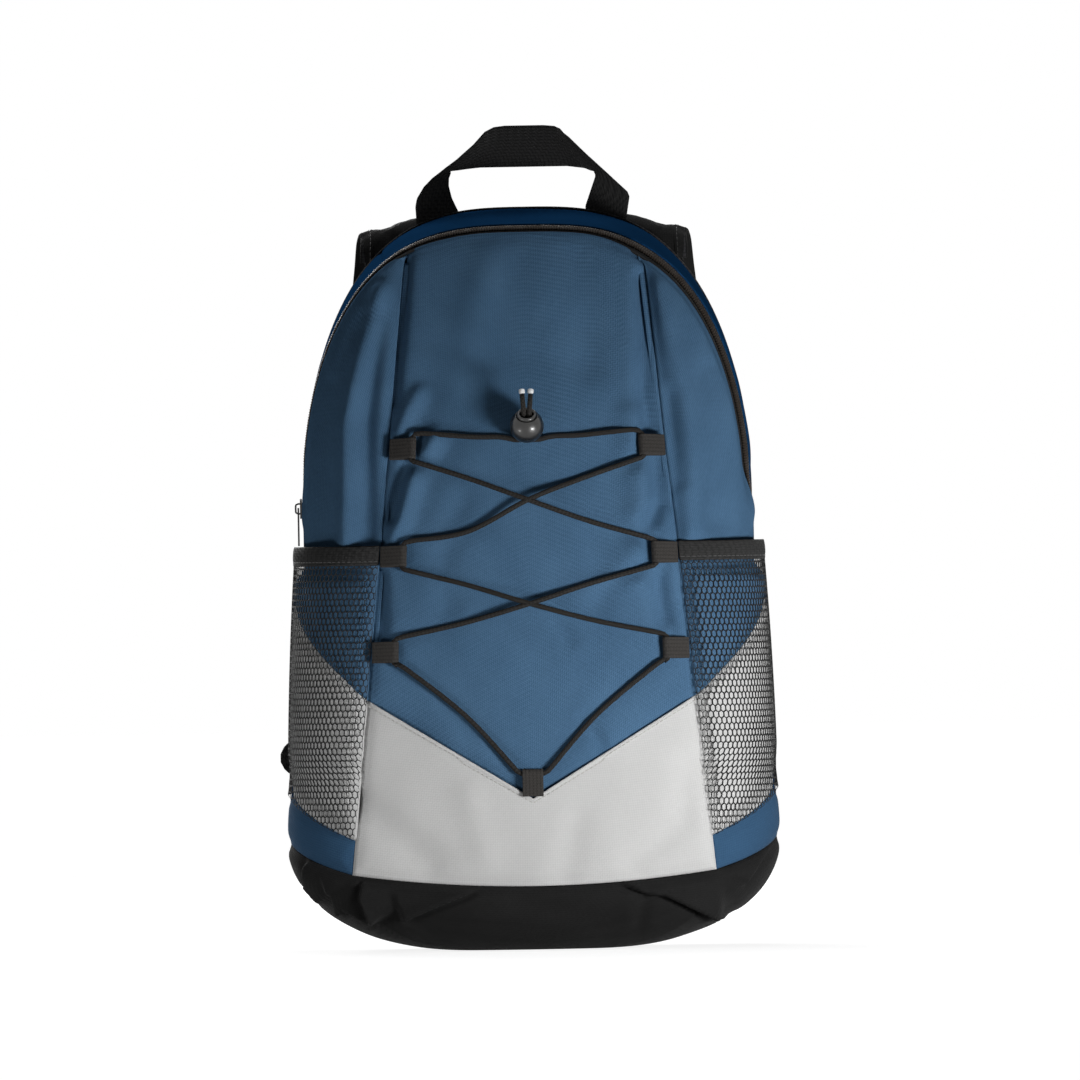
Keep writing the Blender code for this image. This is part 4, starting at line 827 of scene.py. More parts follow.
TIP_LENGTH, TIP_RADIUS, TIP_GAP = 3.0, 1.85, 0.4
for name, end, inner in (("left", *cord_line[:2]), ("right", *cord_line[:-3:-1])):
    along = (end - inner).normalized()
    reach = [TIP_GAP, TIP_GAP + 0.15, TIP_GAP + 0.5,
             TIP_LENGTH - 0.5, TIP_LENGTH, TIP_GAP + TIP_LENGTH]
    taper = np.array([0.5, 0.85, 1.0, 1.0, 0.9, 0.45]) * TIP_RADIUS
    tip = tube(f"{name}_tip_cap", [end + along * r for r in reach], taper, pale_tip, 16)
    dress(tip, "bag", "cord_tip", f"{name}_cord_tip")

# %% [markdown]
# Folds in the cloth
#
# A bag that stands empty is held up by its seams, and the cloth between them falls into soft
# folds. A cloth simulation gives some folds, but not those of this bag, so they are drawn: each
# fold is a line on the front with a height and a width, raised for a ridge and sunk for a valley.
# The cloth beside a fold moves the other way. A lap is a fold that has fallen over: it rises slowly
# on one side and drops at once on the other. Where the tight cord lies on the cloth it presses the
# folds flat. Seams pull the cloth inward, so every panel sinks towards its sewn edges.

# %% Folds in the cloth
SEAM_DEPTH, SEAM_REACH, FAR = 2.0, 4.8, 1e6
COUNTER, COUNTER_WIDTH = 0.3, 2.4  # the cloth beside a fold, in shares of its height and width
LAP_EDGE, LAP_DIP, LAP_TAPER, PRESS_REACH = 0.7, 1.6, 0.3, 6


def beside_line(x, z, line):
    """Distance to a line of (x, z) places, how far left of it, and the place along it."""
    near, beside, place = np.full(x.shape, FAR), np.zeros(x.shape), np.zeros(x.shape)
    for k, ((ax, az), (bx, bz)) in enumerate(zip(line, line[1:])):
        run = math.hypot(bx - ax, bz - az)
        along = np.clip(((x - ax) * (bx - ax) + (z - az) * (bz - az)) / run ** 2, 0, 1)
        far = np.hypot(x - lerp(ax, bx, along), z - lerp(az, bz, along))
        left = ((bx - ax) * (z - az) - (bz - az) * (x - ax)) / run
        beside, place = np.where(far < near, left, beside), np.where(far < near, k + along, place)
        near = np.minimum(near, far)
    return near, beside, place


def fold(x, z, line, height, width, power=2):
    """Height of a fold along a line: a valley if negative, a crease at power 1."""
    near = beside_line(x, z, line)[0]
    counter = COUNTER * np.exp(-(near / (COUNTER_WIDTH * width)) ** 2)
    return height * (np.exp(-(near / width) ** power) - counter)


def lap(x, z, line, height, reach):
    """Height of cloth that laps over itself: raised left of a line and cut off on its right."""
    _, beside, place = beside_line(x, z, line)
    taper = smooth(np.minimum(place, len(line) - 1 - place) / LAP_TAPER)
    flap = np.exp(-np.maximum(beside, 0) / reach) * smooth((beside + LAP_EDGE) / (2 * LAP_EDGE))
    return height * taper * (flap - COUNTER * np.exp(-((beside + LAP_DIP) / LAP_DIP) ** 2))


def slouch(x, z, height):
    """Slow unevenness of cloth that is not stretched."""
    slow = np.sin(x / 19 + 1.3 * np.sin(z / 37)) * np.sin(z / 23 + 1.1 * np.sin(x / 29))
    fast = np.sin(x / 8.3 + z / 11.7 + 1.7 * np.sin(z / 19)) * np.sin(z / 9.1 - x / 13.3)
    return height * (slow + 0.35 * fast)


def seam_sink(grid, edges):
    """How far a panel sinks to its sewn edges, named first or last row or column."""
    u, v = lengths(grid)
    u = u - u[:, :1]
    away = {"left": u, "right": u[:, -1:] - u, "low": v, "top": v[-1:] - v}
    sink = np.zeros(u.shape)
    for edge in edges:
        sink = np.maximum(sink, np.exp(-(away[edge] / SEAM_REACH) ** 2))
    return -SEAM_DEPTH * sink


def press(x, z):
    """One under the cord and zero a few millimetres beside it."""
    near = np.full(x.shape, FAR)
    for spot in cord_line:
        if spot.z < LOCK_HEIGHT - LOCK_RADIUS:
            near = np.minimum(near, np.hypot(x - spot.x, z - spot.z))
    return np.exp(-(near / PRESS_REACH) ** 2)


def shares(columns, rows):
    return np.meshgrid(np.linspace(0, 1, columns + 1), np.linspace(0, 1, rows + 1))


def moved(grid, height):
    return grid + outward(grid) * height[..., None]


print("seams sink by", SEAM_DEPTH, "mm")

# %% [markdown]
# Front panels
#
# The front is one blue panel down to the V and one grey panel below it. The blue one ends at the
# zip in a lip that is folded over beside the teeth. The grey one lies over the blue one at the V,
# with a folded edge that is sewn down, so it stands a little proud there and dips at the stitches.

# %% Front panels
FABRIC, LIP_STEPS, LIP_ROLL = 1.0, (0.5, 1.1, 1.8, 2.6), 1.6
FRONT_COLUMNS, FRONT_ROWS, GREY_ROWS = 88, 130, 44
FRONT_DEPTH, GREY_DEPTH, SIDE_DEPTH = 2.7, 2.2, 2.6  # how much deeper folds are than listed
HEM_STITCH = 2.6  # from the V's edge to its stitches
FRONT_FOLDS = (
    (((-74, 418), (-79, 371), (-83, 332)), -2.6, 6), (((-64, 334), (-77, 310)), 1.5, 5),
    (((-55, 306), (-67, 284), (-74, 262), (-79, 248)), 2.2, 6),
    (((-67, 302), (-77, 281), (-82, 260)), -2.0, 4),
    (((72, 400), (71, 332), (74, 305), (77, 287), (78, 266), (71, 251), (76, 233), (79, 209),
      (82, 185)), -2.6, 6),
    (((62, 317), (67, 269), (62, 221)), 1.6, 10), (((-91, 224), (-89, 185)), -2.0, 6),
    (((14, 203), (23, 185)), -0.9, 6), (((32, 137), (41, 122)), -1.2, 4),
    (((-52, 150), (-35, 128)), -0.8, 6),
    (((-20, 420), (-32, 380), (-36, 345)), 0.9, 13), (((30, 418), (38, 385), (36, 350)), -0.8, 12),
    (((-40, 268), (-52, 240), (-50, 205)), -0.9, 9), (((36, 252), (44, 226), (40, 198)), -0.8, 8),
)
GREY_FOLDS = ((((-105, 89), (-64, 53)), -1.6, 12), (((60, 52), (88, 74), (94, 110)), -1.2, 9),
              (((-30, 60), (-38, 92)), 0.8, 10), (((18, 44), (26, 78)), -0.7, 9))


def front_grid(columns, rows, low, high):
    """A grid of the front between two seams, each given by a column's own share of height."""
    across, along = shares(columns, rows)
    side = 2 * across - 1
    return front_point(side, lerp(low(side), high(side), along))


def panel(name, grid, finish, slot, *nodes):
    """A cut panel of body cloth on the bag."""
    return dress(cloth_piece(name, grid, finish, FABRIC), "bag", slot, *nodes)


flat = front_grid(FRONT_COLUMNS, FRONT_ROWS, v_share, lambda side: 1.0)
x, z = flat[..., 0], flat[..., 2]
lift = FRONT_DEPTH * sum(fold(x, z, *shape) for shape in FRONT_FOLDS) + slouch(x, z, 0.8)
under = press(x, z)
lift = lift * (1 - under) - 0.3 * under
to_zip = 1 - shares(FRONT_COLUMNS, FRONT_ROWS)[1]
lift = lift * (1 - np.exp(-(to_zip * 30) ** 2)) + seam_sink(flat, ("left", "right", "low"))
down = lengths(flat)[1]
front = tucked(moved(flat, lift), down[-1:] - down)
brim = front[-1]
reaches = np.array(LIP_STEPS)[:, None]
roll = 0.3 * np.sin(np.minimum(reaches / LIP_ROLL, LIP_ROLL)) + 0.19 * reaches
lip = np.stack([brim[:, 0] + 0 * reaches, brim[:, 1] + reaches, brim[:, 2] + roll], axis=-1)
front_cloth = panel("front_cloth", np.concatenate([front, lip]), blue_polyester, "blue_fabric",
                    "front_panel_upper")

flat = front_grid(FRONT_COLUMNS, GREY_ROWS, lambda side: 0 * side, v_share)
x, z = flat[..., 0], flat[..., 2]
lift = GREY_DEPTH * sum(fold(x, z, *shape) for shape in GREY_FOLDS) + slouch(x, z, 0.5)
down = lengths(flat)[1]
from_v = down[-1:] - down
hem = 0.9 * np.exp(-(from_v / 2.0) ** 2) - 0.35 * np.exp(-((from_v - HEM_STITCH) / 0.9) ** 2)
lift = lift * (1 - np.exp(-(from_v / 8) ** 2)) + seam_sink(flat, ("left", "right", "low")) + hem
grey_front = moved(flat, lift)
grey_cloth = panel("grey_front_cloth", grey_front, grey_polyester, "grey_fabric",
                   "front_panel_lower")
print("points of front and grey cloth:",
      [len(cloth.data.vertices) for cloth in (front_cloth, grey_cloth)])

# %% [markdown]
# Stitches
#
# Each stitch is a short thread that dives into the cloth at both ends. One function makes short
# bars, for stitches and later for the zip, and another lays a row of stitches along a line on the
# cloth. A bump texture could draw them, but then they would not catch the light from the side, and
# they would be lost on an exported mesh.

# %% Stitches
# Rings of a bar by their share of its length, their rise and their girth in radii.
STITCH = ((0.1, -0.8, 0.5), (0.2, 0.5, 0.9), (0.5, 1.0, 1.0), (0.8, 0.5, 0.9), (0.9, -0.8, 0.5))


def bars(name, starts, ends, ups, radius, form, finish, around=6):
    """Short bars from starts to ends, all in one mesh; ups point off the cloth."""
    points, faces = [], []
    for start, end, up in zip(starts, ends, ups):
        along = end - start
        side = np.cross(along, up)
        side = side / np.linalg.norm(side)
        first = len(points)
        for share, rise, girth in form:
            for turn in np.arange(around) * 2 * math.pi / around:
                off = up * (rise + girth * math.cos(turn)) + side * girth * math.sin(turn)
                points.append(start + along * share + radius * off)
        faces += [[first + i for i in face] for face in grid_faces(len(form), around, closed=True)]
        faces += [[first + i for i in range(around)],
                  [len(points) - 1 - i for i in range(around)]]
    return piece(name, points, faces, finish)


def stitches(name, line, off, pitch, finish, slot, body="bag", thick=0.55):
    """A row along a line; off is the cloth's outward direction, one or one per point."""
    line = np.asarray(line, float)
    off = np.broadcast_to(np.asarray(off, float), line.shape)
    count = max(round(float(run_length(line)[-1]) / pitch), 1)
    spots = even_steps(line, count)
    places, picks = np.arange(len(off)), np.linspace(0, len(off) - 1, count + 1)
    ups = np.stack([np.interp(picks, places, off[:, axis]) for axis in range(3)], axis=-1)
    dress(bars(name, spots, spots[1:], ups, thick / 2, STITCH, finish), body, slot)
    return count


rows = np.argmin(np.abs(from_v - HEM_STITCH), axis=0)
below_v = grey_front[rows, np.arange(len(rows))]
count = stitches("v_seam_stitches", below_v, (0, -1, 0), 3.0, grey_thread, "grey_fabric")
print("V seam:", count, "stitches")

# %% [markdown]
# Side panels and side gussets
#
# On each side a blue panel, a grey one and a blue strip turn from the front to the side, and a
# navy gusset carries on to the back. They share their seams, and under the mesh pocket they lie
# against the net. A tape closes the princess seam from behind. The folds of the left and the right
# side differ, as on the bag.

# %% Side panels and side gussets
SIDE_FOLDS = {
    "left": ((((-86, 395), (-98, 353), (-106, 317), (-107, 281), (-109, 242)), 2.6, 6),
             (((-90, 380), (-97, 317), (-97, 245)), -1.8, 7),
             (((-118, 340), (-122, 290), (-120, 250)), -1.0, 7)),
    "right": ((((79, 395), (92, 347), (97, 299), (98, 245)), 1.9, 8),
              (((86, 330), (90, 280)), -1.2, 6),
              (((112, 345), (117, 300), (114, 256)), -1.1, 8)),
}
SEAM_INSET = (1.5, 3.4)  # the tape behind a princess seam lies this far in from it, in x and y
TAPE_HALF, TAPE_LIE = 2.4, np.array([0.93, 0.35, 0.0])
ZIP_MARGIN, SIDE_LIP = 8, 0.9


def mirror(grid, side):
    return grid * np.array([side, 1, 1])


def side_panel(side, low, high, rows, folds, edges, columns=36):
    """A panel of the side front between two slanted seams."""
    share, along = shares(columns, rows)
    flat = mirror(filled(side_point(share, lerp(low(share), high(share), along)), share / 2), side)
    x, z = flat[..., 0], flat[..., 2]
    loose = lerp(0.2, 1, smooth((z - HEM_LOW) / 20))
    lift = SIDE_DEPTH * sum((fold(x, z, *shape) for shape in folds), slouch(x, z, 0.3)) * loose
    return moved(flat, lift * np.minimum(edge_distance(flat) / 6, 1) + seam_sink(flat, edges))


def slant(low, high):
    return lambda share: lerp(low, high, share)


grey_edge, strip_edge = slant(V_SHOULDER, GREY_SIDE), slant(STRIP_SEAM, STRIP_SIDE)
base_seam, seam_end = slant(BASE_SEAM, BASE_SIDE), slant(SEAM_TOP - 0.3, SEAM_TOP - 0.3)
for name, side in SIDES:
    blue = side_panel(side, grey_edge, seam_end, 110, SIDE_FOLDS[name], ("left", "low"))
    u = lengths(blue)[0]
    blue = tucked(blue, u[:, -1:] - u)
    edge = blue[:, -1]
    zipped = smooth((edge[:, 2] - ZIP_END + ZIP_MARGIN) / ZIP_MARGIN)[:, None]
    lip = []
    for k, reach in enumerate(LIP_STEPS):
        roll = side * SIDE_LIP * math.sin(min(reach / LIP_ROLL, LIP_ROLL))
        lip.append(lerp(edge + (0, 0.02 * k, 0), edge + (roll, reach, 0.0), zipped))
    blue = np.concatenate([blue, np.stack(lip, axis=1)], axis=1)
    panel(f"{name}_side_cloth", blue, blue_polyester, "blue_fabric", f"{name}_side_front_panel")
    z = np.linspace(V_SHOULDER, SEAM_TOP - ZIP_MARGIN, 120)
    x, y = seam_x(z) - SEAM_INSET[0], front_y(seam_x(z), z) + SEAM_INSET[1]
    across = np.linspace(-TAPE_HALF, TAPE_HALF, 5)[None, :, None]
    tape = mirror(np.stack([x, y, z], axis=-1)[:, None] + across * TAPE_LIE, side)
    dress(cloth_piece(f"{name}_seam_tape", tape, blue_polyester, 0.6), "bag", "blue_fabric")
    grey = side_panel(side, strip_edge, grey_edge, 60, (), ("left", "right", "low", "top"))
    panel(f"{name}_side_grey_cloth", grey, grey_polyester, "grey_fabric", f"{name}_side_grey_panel")
    strip = side_panel(side, base_seam, strip_edge, 14, (), ("left", "low", "top"))
    # The strip takes the darker copy of the blue cloth, painted shade for its place under the
    # pocket.
    panel(f"{name}_side_strip_cloth", strip, strip_polyester_shaded, "blue_fabric", f"{name}_side_strip")
    share, along = shares(28, 84)
    flat = filled(gusset_side(share, lerp(BASE_SIDE, ZIP_END, along)), 0.5 + share / 2)
    flat = mirror(flat, side)
    sag = slouch(flat[..., 1] * 1.3, flat[..., 2], 0.2) * np.minimum(edge_distance(flat) / 8, 1)
    gusset = moved(flat, sag + seam_sink(flat, ("left", "right", "low", "top")))
    panel(f"{name}_gusset_cloth", gusset, navy_polyester, "navy_fabric", f"{name}_side_gusset")

# %% [markdown]
# Base
#
# The base is a dish of doubled black cloth. Rings that shrink from its seam to the flat bottom
# make it, as for a pressed bowl. An empty bag does not fill its base, so the cloth tucks under
# itself along a few sharp creases at the corners, and the bottom edge waves a little.

# %% Base
BASE_LAPS = ((((-81, 19), (-63, 26), (-32, 37)), 5.0, 13),
             (((-102, 44), (-104, 34), (-95, 17)), 4.0, 14),
             (((-118, 24), (-111, 27), (-94, 17)), 4.0, 14),
             (((-137, 57), (-136, 40), (-126, 29)), 3.0, 16),
             (((47, 41), (66, 33), (77, 32), (115, 15)), 4.6, 16),
             (((124, 36), (132, 47), (146, 62)), 2.0, 14))
LAP_DEPTH, BASE_FOLD_END = 1.6, 25  # laps are this much deeper than listed; folds stop behind here
BASE_TUCKS = ((((66, 33), (62, 14)), -2.6, 5), (((108, 45), (113, 40), (115, 22)), -2.6, 5),
              (((-63, 5), (-80, 18)), 2.2, 4), (((-8, 30), (22, 20), (50, 14)), -1.6, 8))
FLAT_HALF_WIDTH, FLAT_FRONT, FLAT_REAR, WIDEST = 45.0, 41.0, 36.0, 147.5

xs = np.linspace(0, SEAM_BASE_X, 91)[:-1]
turns = np.linspace(0, 1, 49)
rear = np.linspace(float(back_x(np.array(BASE_SIDE))), 0, 41)
half = np.concatenate([
    np.stack([xs, front_y(xs, base_edge(xs)), base_edge(xs)], axis=-1),
    side_point(turns, base_seam(turns)),
    gusset_side(np.linspace(0, 1, 31)[1:-1], np.full(29, BASE_SIDE)),
    np.stack([rear, 0 * rear + BACK_Y, 0 * rear + BASE_SIDE], axis=-1)])
ring = np.concatenate([half, mirror(half[1:-1][::-1], -1)])
depth = np.where(ring[:, 1] < 0, FLAT_FRONT / (FRONT_BULGE - ZIP_Y), FLAT_REAR / BACK_Y)
foot = np.stack([ring[:, 0] * FLAT_HALF_WIDTH / WIDEST, ring[:, 1] * depth, 0 * depth], axis=-1)
bowl = []
for turn in np.linspace(0, math.pi / 2, 46):
    level = lerp(foot, ring, math.cos(turn))
    level[:, 2] = (ring[:, 2] - 0.3) * (1 - math.sin(turn))
    bowl.append(level)
for share in (0.8, 0.6, 0.4, 0.2, 0.02):
    bowl.append(foot * share)
bowl = np.array(bowl)
x, y, z = bowl[..., 0], bowl[..., 1], bowl[..., 2]
lift = sum(fold(x, z, *shape) for shape in BASE_TUCKS)
lift = lift + LAP_DEPTH * sum(lap(x, z, *shape) for shape in BASE_LAPS)
lift = lift * smooth((BASE_FOLD_END - y) / 40) + slouch(x + y, z * 1.5, 0.6)
lift *= smooth(z / 16) * np.minimum((ring[:, 2] - z) / 5, 1)
lift += -SEAM_DEPTH * np.exp(-((ring[:, 2] - z) / SEAM_REACH) ** 2)
away = normals(np.concatenate([bowl[:, -1:], bowl, bowl[:, :1]], axis=1))[:, 1:-1]
away = away if np.mean(np.sum(away * (bowl - BAG_MIDDLE), axis=-1)) > 0 else -away
bowl = bowl + away * lift[..., None]
bowl[..., 2] = np.maximum(bowl[..., 2], 0.05)
base = cloth_piece("base_cloth", bowl, black_polyester, FABRIC, closed=True, outside=away)
dress(base, "bag", "black_fabric", "base_panel")
print("base points:", len(base.data.vertices))

# %% [markdown]
# Zip
#
# The zip is a nylon coil: two rows of loops that mesh in the middle, each sewn to its own tape.
# Closed, they look like a row of short bars that reach in from both sides by turns. Every bar is a
# small rounded bead, so the zip glitters along the arch. Behind it the navy gusset starts with a
# folded lip, and a short seam crosses it at the left.

# %% Zip
FRONT_TAPE, REAR_TAPE, GUSSET_START = (0.5, 4.9), (8.3, 12.0), 11.2
FRONT_BARS, REAR_BARS, BAR_PITCH, BAR_RADIUS = (4.5, 7.1), (6.1, 8.7), 1.55, 0.72
GUSSET_SEAM_X, ZIP_MIDDLE, ZIP_SHARE = -86.0, 6.6, 0.99
BEAD = ((0, 0, 0.45), (0.12, 0, 0.9), (0.5, 0, 1.0), (0.88, 0, 0.9), (1, 0, 0.45))


def arch_grid(low, high, columns, rows):
    """A strip of the zipped gusset between two reaches, from its left end to its right end."""
    across, along = shares(columns, rows)
    return gusset_arch(lerp(-1, 1, along), lerp(low, high, across))


for name, span in (("front", FRONT_TAPE), ("rear", REAR_TAPE)):
    tape = arch_grid(*span, 4, 240)
    tape = moved(tape, np.full(tape.shape[:2], -0.35))
    tape = cloth_piece(f"zip_{name}_tape_cloth", tape, zip_cloth, 0.6)
    dress(tape, "bag", "black_fabric", f"zip_{name}_tape")

flat = arch_grid(GUSSET_START, GUSSET_REAR - ZIP_Y, 32, 260)
u, v = lengths(flat)
u = u - u[:, :1]
lift = slouch(v * 0.8, u * 1.4, 0.35) * np.minimum(edge_distance(flat) / 8, 1)
lift += seam_sink(flat, ("right", "low", "top"))
lift += 0.5 * np.exp(-(u / 1.6) ** 2)
gusset_seam = np.argmin(np.abs(flat[:len(flat) // 2, 0, 0] - GUSSET_SEAM_X))
lift -= 1.2 * np.exp(-((v - v[gusset_seam]) / 1.8) ** 2)
panel("zip_gusset_cloth", moved(flat, lift), navy_polyester, "navy_fabric", "zip_gusset")

run = np.linspace(-ZIP_SHARE, ZIP_SHARE, 4001)
arc = run_length(gusset_arch(run, 0 * run + ZIP_MIDDLE))
for index, (name, span) in enumerate((("front", FRONT_BARS), ("rear", REAR_BARS))):
    places = np.interp(np.arange(index * BAR_PITCH / 2, arc[-1], BAR_PITCH), arc, run)
    low, high = (gusset_arch(places, 0 * places + reach) for reach in span)
    ahead = gusset_arch(places + 0.001, 0 * places + span[0]) - low
    ups = np.cross(high - low, ahead)
    ups = ups / np.linalg.norm(ups, axis=1, keepdims=True)
    ups *= np.sign(np.sum(ups * (low - BAG_MIDDLE), axis=1, keepdims=True))
    low, high = low + 0.5 * ups, high + 0.5 * ups
    teeth = bars(f"zip_{name}_teeth", low, high, ups, BAR_RADIUS, BEAD, nylon_coil)
    dress(teeth, "bag", "black_plastic", f"zip_{name}_coil")
print("zip length:", round(arc[-1]), "mm, bars on each side:", len(places))

# %% [markdown]
# Mesh pockets
#
# The pockets are a warp-knitted net with pointed six-sided holes. A see-through texture would be
# cheap, but it has no edge and no shadow, so the net is real: one ring of faces for each hole,
# laid on the pocket's surface by the length along it. Holes that would cross the border are
# pressed on to it, as where a net is caught in a seam. The yarns are about 0.3 mm thick.

# %% Mesh pockets
CELL_WIDTH, CELL_HEIGHT, ROW_PITCH, YARN, NET_THICK = 3.3, 4.95, 3.7, 0.29, 0.3
LEVELS, COLUMNS = 60, 30  # heights at which the way round is known, and most holes to each side

turns = np.linspace(0, 1, 121)
levels = np.linspace(STRIP_SEAM, HEM_TOP, LEVELS)
way = lengths(pocket_point(*np.meshgrid(turns, levels)))[0]


def on_pocket(s, z):
    """Points by their way round the pocket's turn, in mm, and height, pressed on to the border."""
    row = np.clip(np.searchsorted(levels, z) - 1, 0, LEVELS - 2)
    part = np.clip((z - levels[row]) / (levels[row + 1] - levels[row]), 0, 1)
    around = np.array([np.interp(spot, lerp(way[r], way[r + 1], p), turns)
                       for spot, r, p in zip(s, row, part)])
    z = np.clip(z, pocket_floor(around), HEM_LOW + 1)
    return pocket_point(around, z)


def net(side):
    """Points and faces of one pocket's net."""
    hexagon = np.array([(0, 0.5), (0.5, 0.25), (0.5, -0.25),
                        (0, -0.5), (-0.5, -0.25), (-0.5, 0.25)])
    outer = hexagon * (CELL_WIDTH, CELL_HEIGHT)
    hole = hexagon * (CELL_WIDTH - 2 * YARN, CELL_HEIGHT - 2.3 * YARN)
    flat, faces, shared = [], [], {}
    for row in range(int((HEM_LOW - STRIP_SEAM) / ROW_PITCH) + 2):
        z = HEM_LOW - row * ROW_PITCH
        for column in range(-COLUMNS, COLUMNS):
            centre = np.array([(column + 0.5 * (row % 2)) * CELL_WIDTH, z])
            level = min(int(np.searchsorted(levels, z)), LEVELS - 1)
            around = np.interp(centre[0], way[level], turns)
            inside = way[level][0] - 1 < centre[0] < way[level][-1] + 1
            if not inside or z < pocket_floor(around) - 1:
                continue
            corners = []
            for corner in centre + outer:
                key = tuple(np.round(corner * 4).astype(int))
                if key not in shared:
                    shared[key] = len(flat)
                    flat.append(corner)
                corners.append(shared[key])
            inner = list(range(len(flat), len(flat) + 6))
            flat.extend(centre + hole)
            for k, after in enumerate((1, 2, 3, 4, 5, 0)):
                faces.append((corners[k], corners[after], inner[after], inner[k]))
    flat = np.array(flat)
    faces = faces if side < 0 else [face[::-1] for face in faces]
    return mirror(on_pocket(flat[:, 0], flat[:, 1]), side), faces


for name, side in SIDES:
    points, faces = net(side)
    pocket = thicken(piece(f"{name}_pocket_net", points, faces, net_yarn), NET_THICK)
    dress(pocket, "bag", "black_mesh", f"{name}_mesh_pocket")
print("holes in a net:", len(faces) // 6)

# %% [markdown]
# Elastic hems
#
# A band of elastic gathers each pocket's mouth. It is knitted in ribs across its width, and one
# row of stitches near its lower edge holds the net. The band swells between its edges, and the
# gathered ribs are in the mesh.

# %% Elastic hems
RIB_PITCH, RIB_RISE, WAVE_RISE, BAND_SWELL, STITCH_LINE = 2.1, 0.16, 0.5, 0.55, 2.4

for name, side in SIDES:
    around, along = shares(260, 10)
    band = mirror(pocket_point(around, lerp(HEM_LOW - 0.3, HEM_TOP, along)), side)
    u, v = lengths(band)
    ribs = RIB_RISE * np.sin(2 * math.pi * u / RIB_PITCH) * np.sin(math.pi * along) ** 0.5
    waves = WAVE_RISE * np.sin(u / 7.5) * along
    groove = -0.3 * np.exp(-((v - STITCH_LINE) / 0.8) ** 2)
    band = moved(band, BAND_SWELL * np.sin(math.pi * along) ** 0.6 + ribs + waves + groove)
    hem = cloth_piece(f"{name}_hem_band", band, elastic, 1.3)
    dress(hem, "bag", "black_webbing", f"{name}_pocket_elastic")
    stitches(f"{name}_hem_stitches", band[2], outward(band)[2], 3.4, dark_thread, "black_webbing",
             thick=0.5)
print("hem length:", round(float(np.ptp(u))), "mm")

# %% [markdown]
# Cord loops
#
# Each loop is a tab of grosgrain tape, folded round the cord and caught in a seam. It is a ribbon
# along a hairpin, thickened on both sides, with the cord's own fold inside.

# %% Cord loops
def hairpin(length, radius, tape, rest):
    """Places along and off the cloth for a tape folded round a rod."""
    low, centre = tape / 2 + LOOP_SEAT, length - radius
    turn = np.linspace(-math.pi / 2, math.pi / 2, 17)
    path = [(0, low), (centre / 2, low)]
    path += list(zip(centre + radius * np.cos(turn), low + radius + radius * np.sin(turn)))
    top = low + tape + rest
    return path + [(centre / 2, lerp(top, low + 2 * radius, 0.6)), (0, top)]


def ribbon(name, spots, across, finish, thickness, columns=10):
    """A tape along spots; across reaches from its middle to its right edge."""
    share = np.linspace(-1, 1, columns + 1)[:, None]
    grid = np.array(spots, float)[:, None] + share * np.array(across, float)
    return cloth_piece(name, grid, finish, thickness, outside=normals(grid), offset=0)


def tape_loop(name, place, node):
    """A tab of tape in its frame, in place of its solid."""
    path = hairpin(LOOP_LENGTH, LOOP_FOLD, LOOP_TAPE, 0.4)
    spots = smooth_path([place @ Vector((x, y, 0)) for x, y in path], 1.0)
    across = place.to_3x3() @ Vector((0, 0, LOOP_WIDTH / 2))
    tape = ribbon(name, spots, across, loop_tape, LOOP_TAPE)
    soft = tape.modifiers.new("soft edge", 'BEVEL')
    soft.width, soft.segments = 0.3 * MM, 2
    return dress(tape, "bag", "black_webbing", node)


for name, side in SIDES:
    for index, height in enumerate(LOOP_HEIGHTS, 1):
        tape_loop(f"{name}_tape_loop_{index}", side_loop_frame(side, height),
                  f"{name}_cord_loop_{index}")
tape_loop("v_tape_loop", v_loop_frame, "bottom_cord_loop")
print("loops:", 2 * len(LOOP_HEIGHTS) + 1)

# %% [markdown]
# Cord lock
#
# The cord lock is a smoked ball with a bore from its top and two holes for the cord. A hollow
# plunger sits in the bore on a small spring. Both are turned shapes, so their profiles are spun
# about the lock's tilted axis. The spring is a coil of wire between the floor of the bore and
# the plunger.

# %% Cord lock
BORE, CORD_HOLE, PLUNGER_LOW, LOCK_FLOOR, PLAY = 6.2, 4.0, 1.5, -4.6, 0.3
WIRE, COILS, TRAVEL = 0.35, 4, 3.0  # radius and turns of the spring, and the plunger's stroke
tilt = lock_axis.to_track_quat('Z', 'Y').to_matrix().to_4x4()
lock_place = Matrix.Translation(lock_centre) @ tilt


def spun(name, profile, finish, steps=64):
    """A closed profile of (radius, height) places spun about the lock's axis."""
    profile = np.array(profile, float)
    turn = np.linspace(0, 2 * math.pi, steps, endpoint=False)
    rings = np.stack([profile[:, :1] * np.cos(turn), profile[:, :1] * np.sin(turn),
                      profile[:, 1:] + 0 * turn], axis=-1)
    points = [lock_place @ Vector(spot) for spot in rings.reshape(-1, 3)]
    faces = grid_faces(len(profile), steps, closed=True)
    last = (len(profile) - 1) * steps
    for k in range(steps):
        after = (k + 1) % steps
        faces.append((last + k, last + after, after, k))
    return piece(name, points, faces, finish)


def rounded(profile, radius, steps=4):
    """The same closed profile with its corners rounded."""
    path = []
    spots = np.array(profile, float)
    for before, corner, after in zip(np.roll(spots, 1, axis=0), spots, np.roll(spots, -1, axis=0)):
        back, on = before - corner, after - corner
        cut = min(radius, np.linalg.norm(back) / 2.2, np.linalg.norm(on) / 2.2)
        start, end = (corner + cut * way / np.linalg.norm(way) for way in (back, on))
        path += [lerp(lerp(start, corner, t), lerp(corner, end, t), t)
                 for t in np.linspace(0, 1, steps)]
    return path


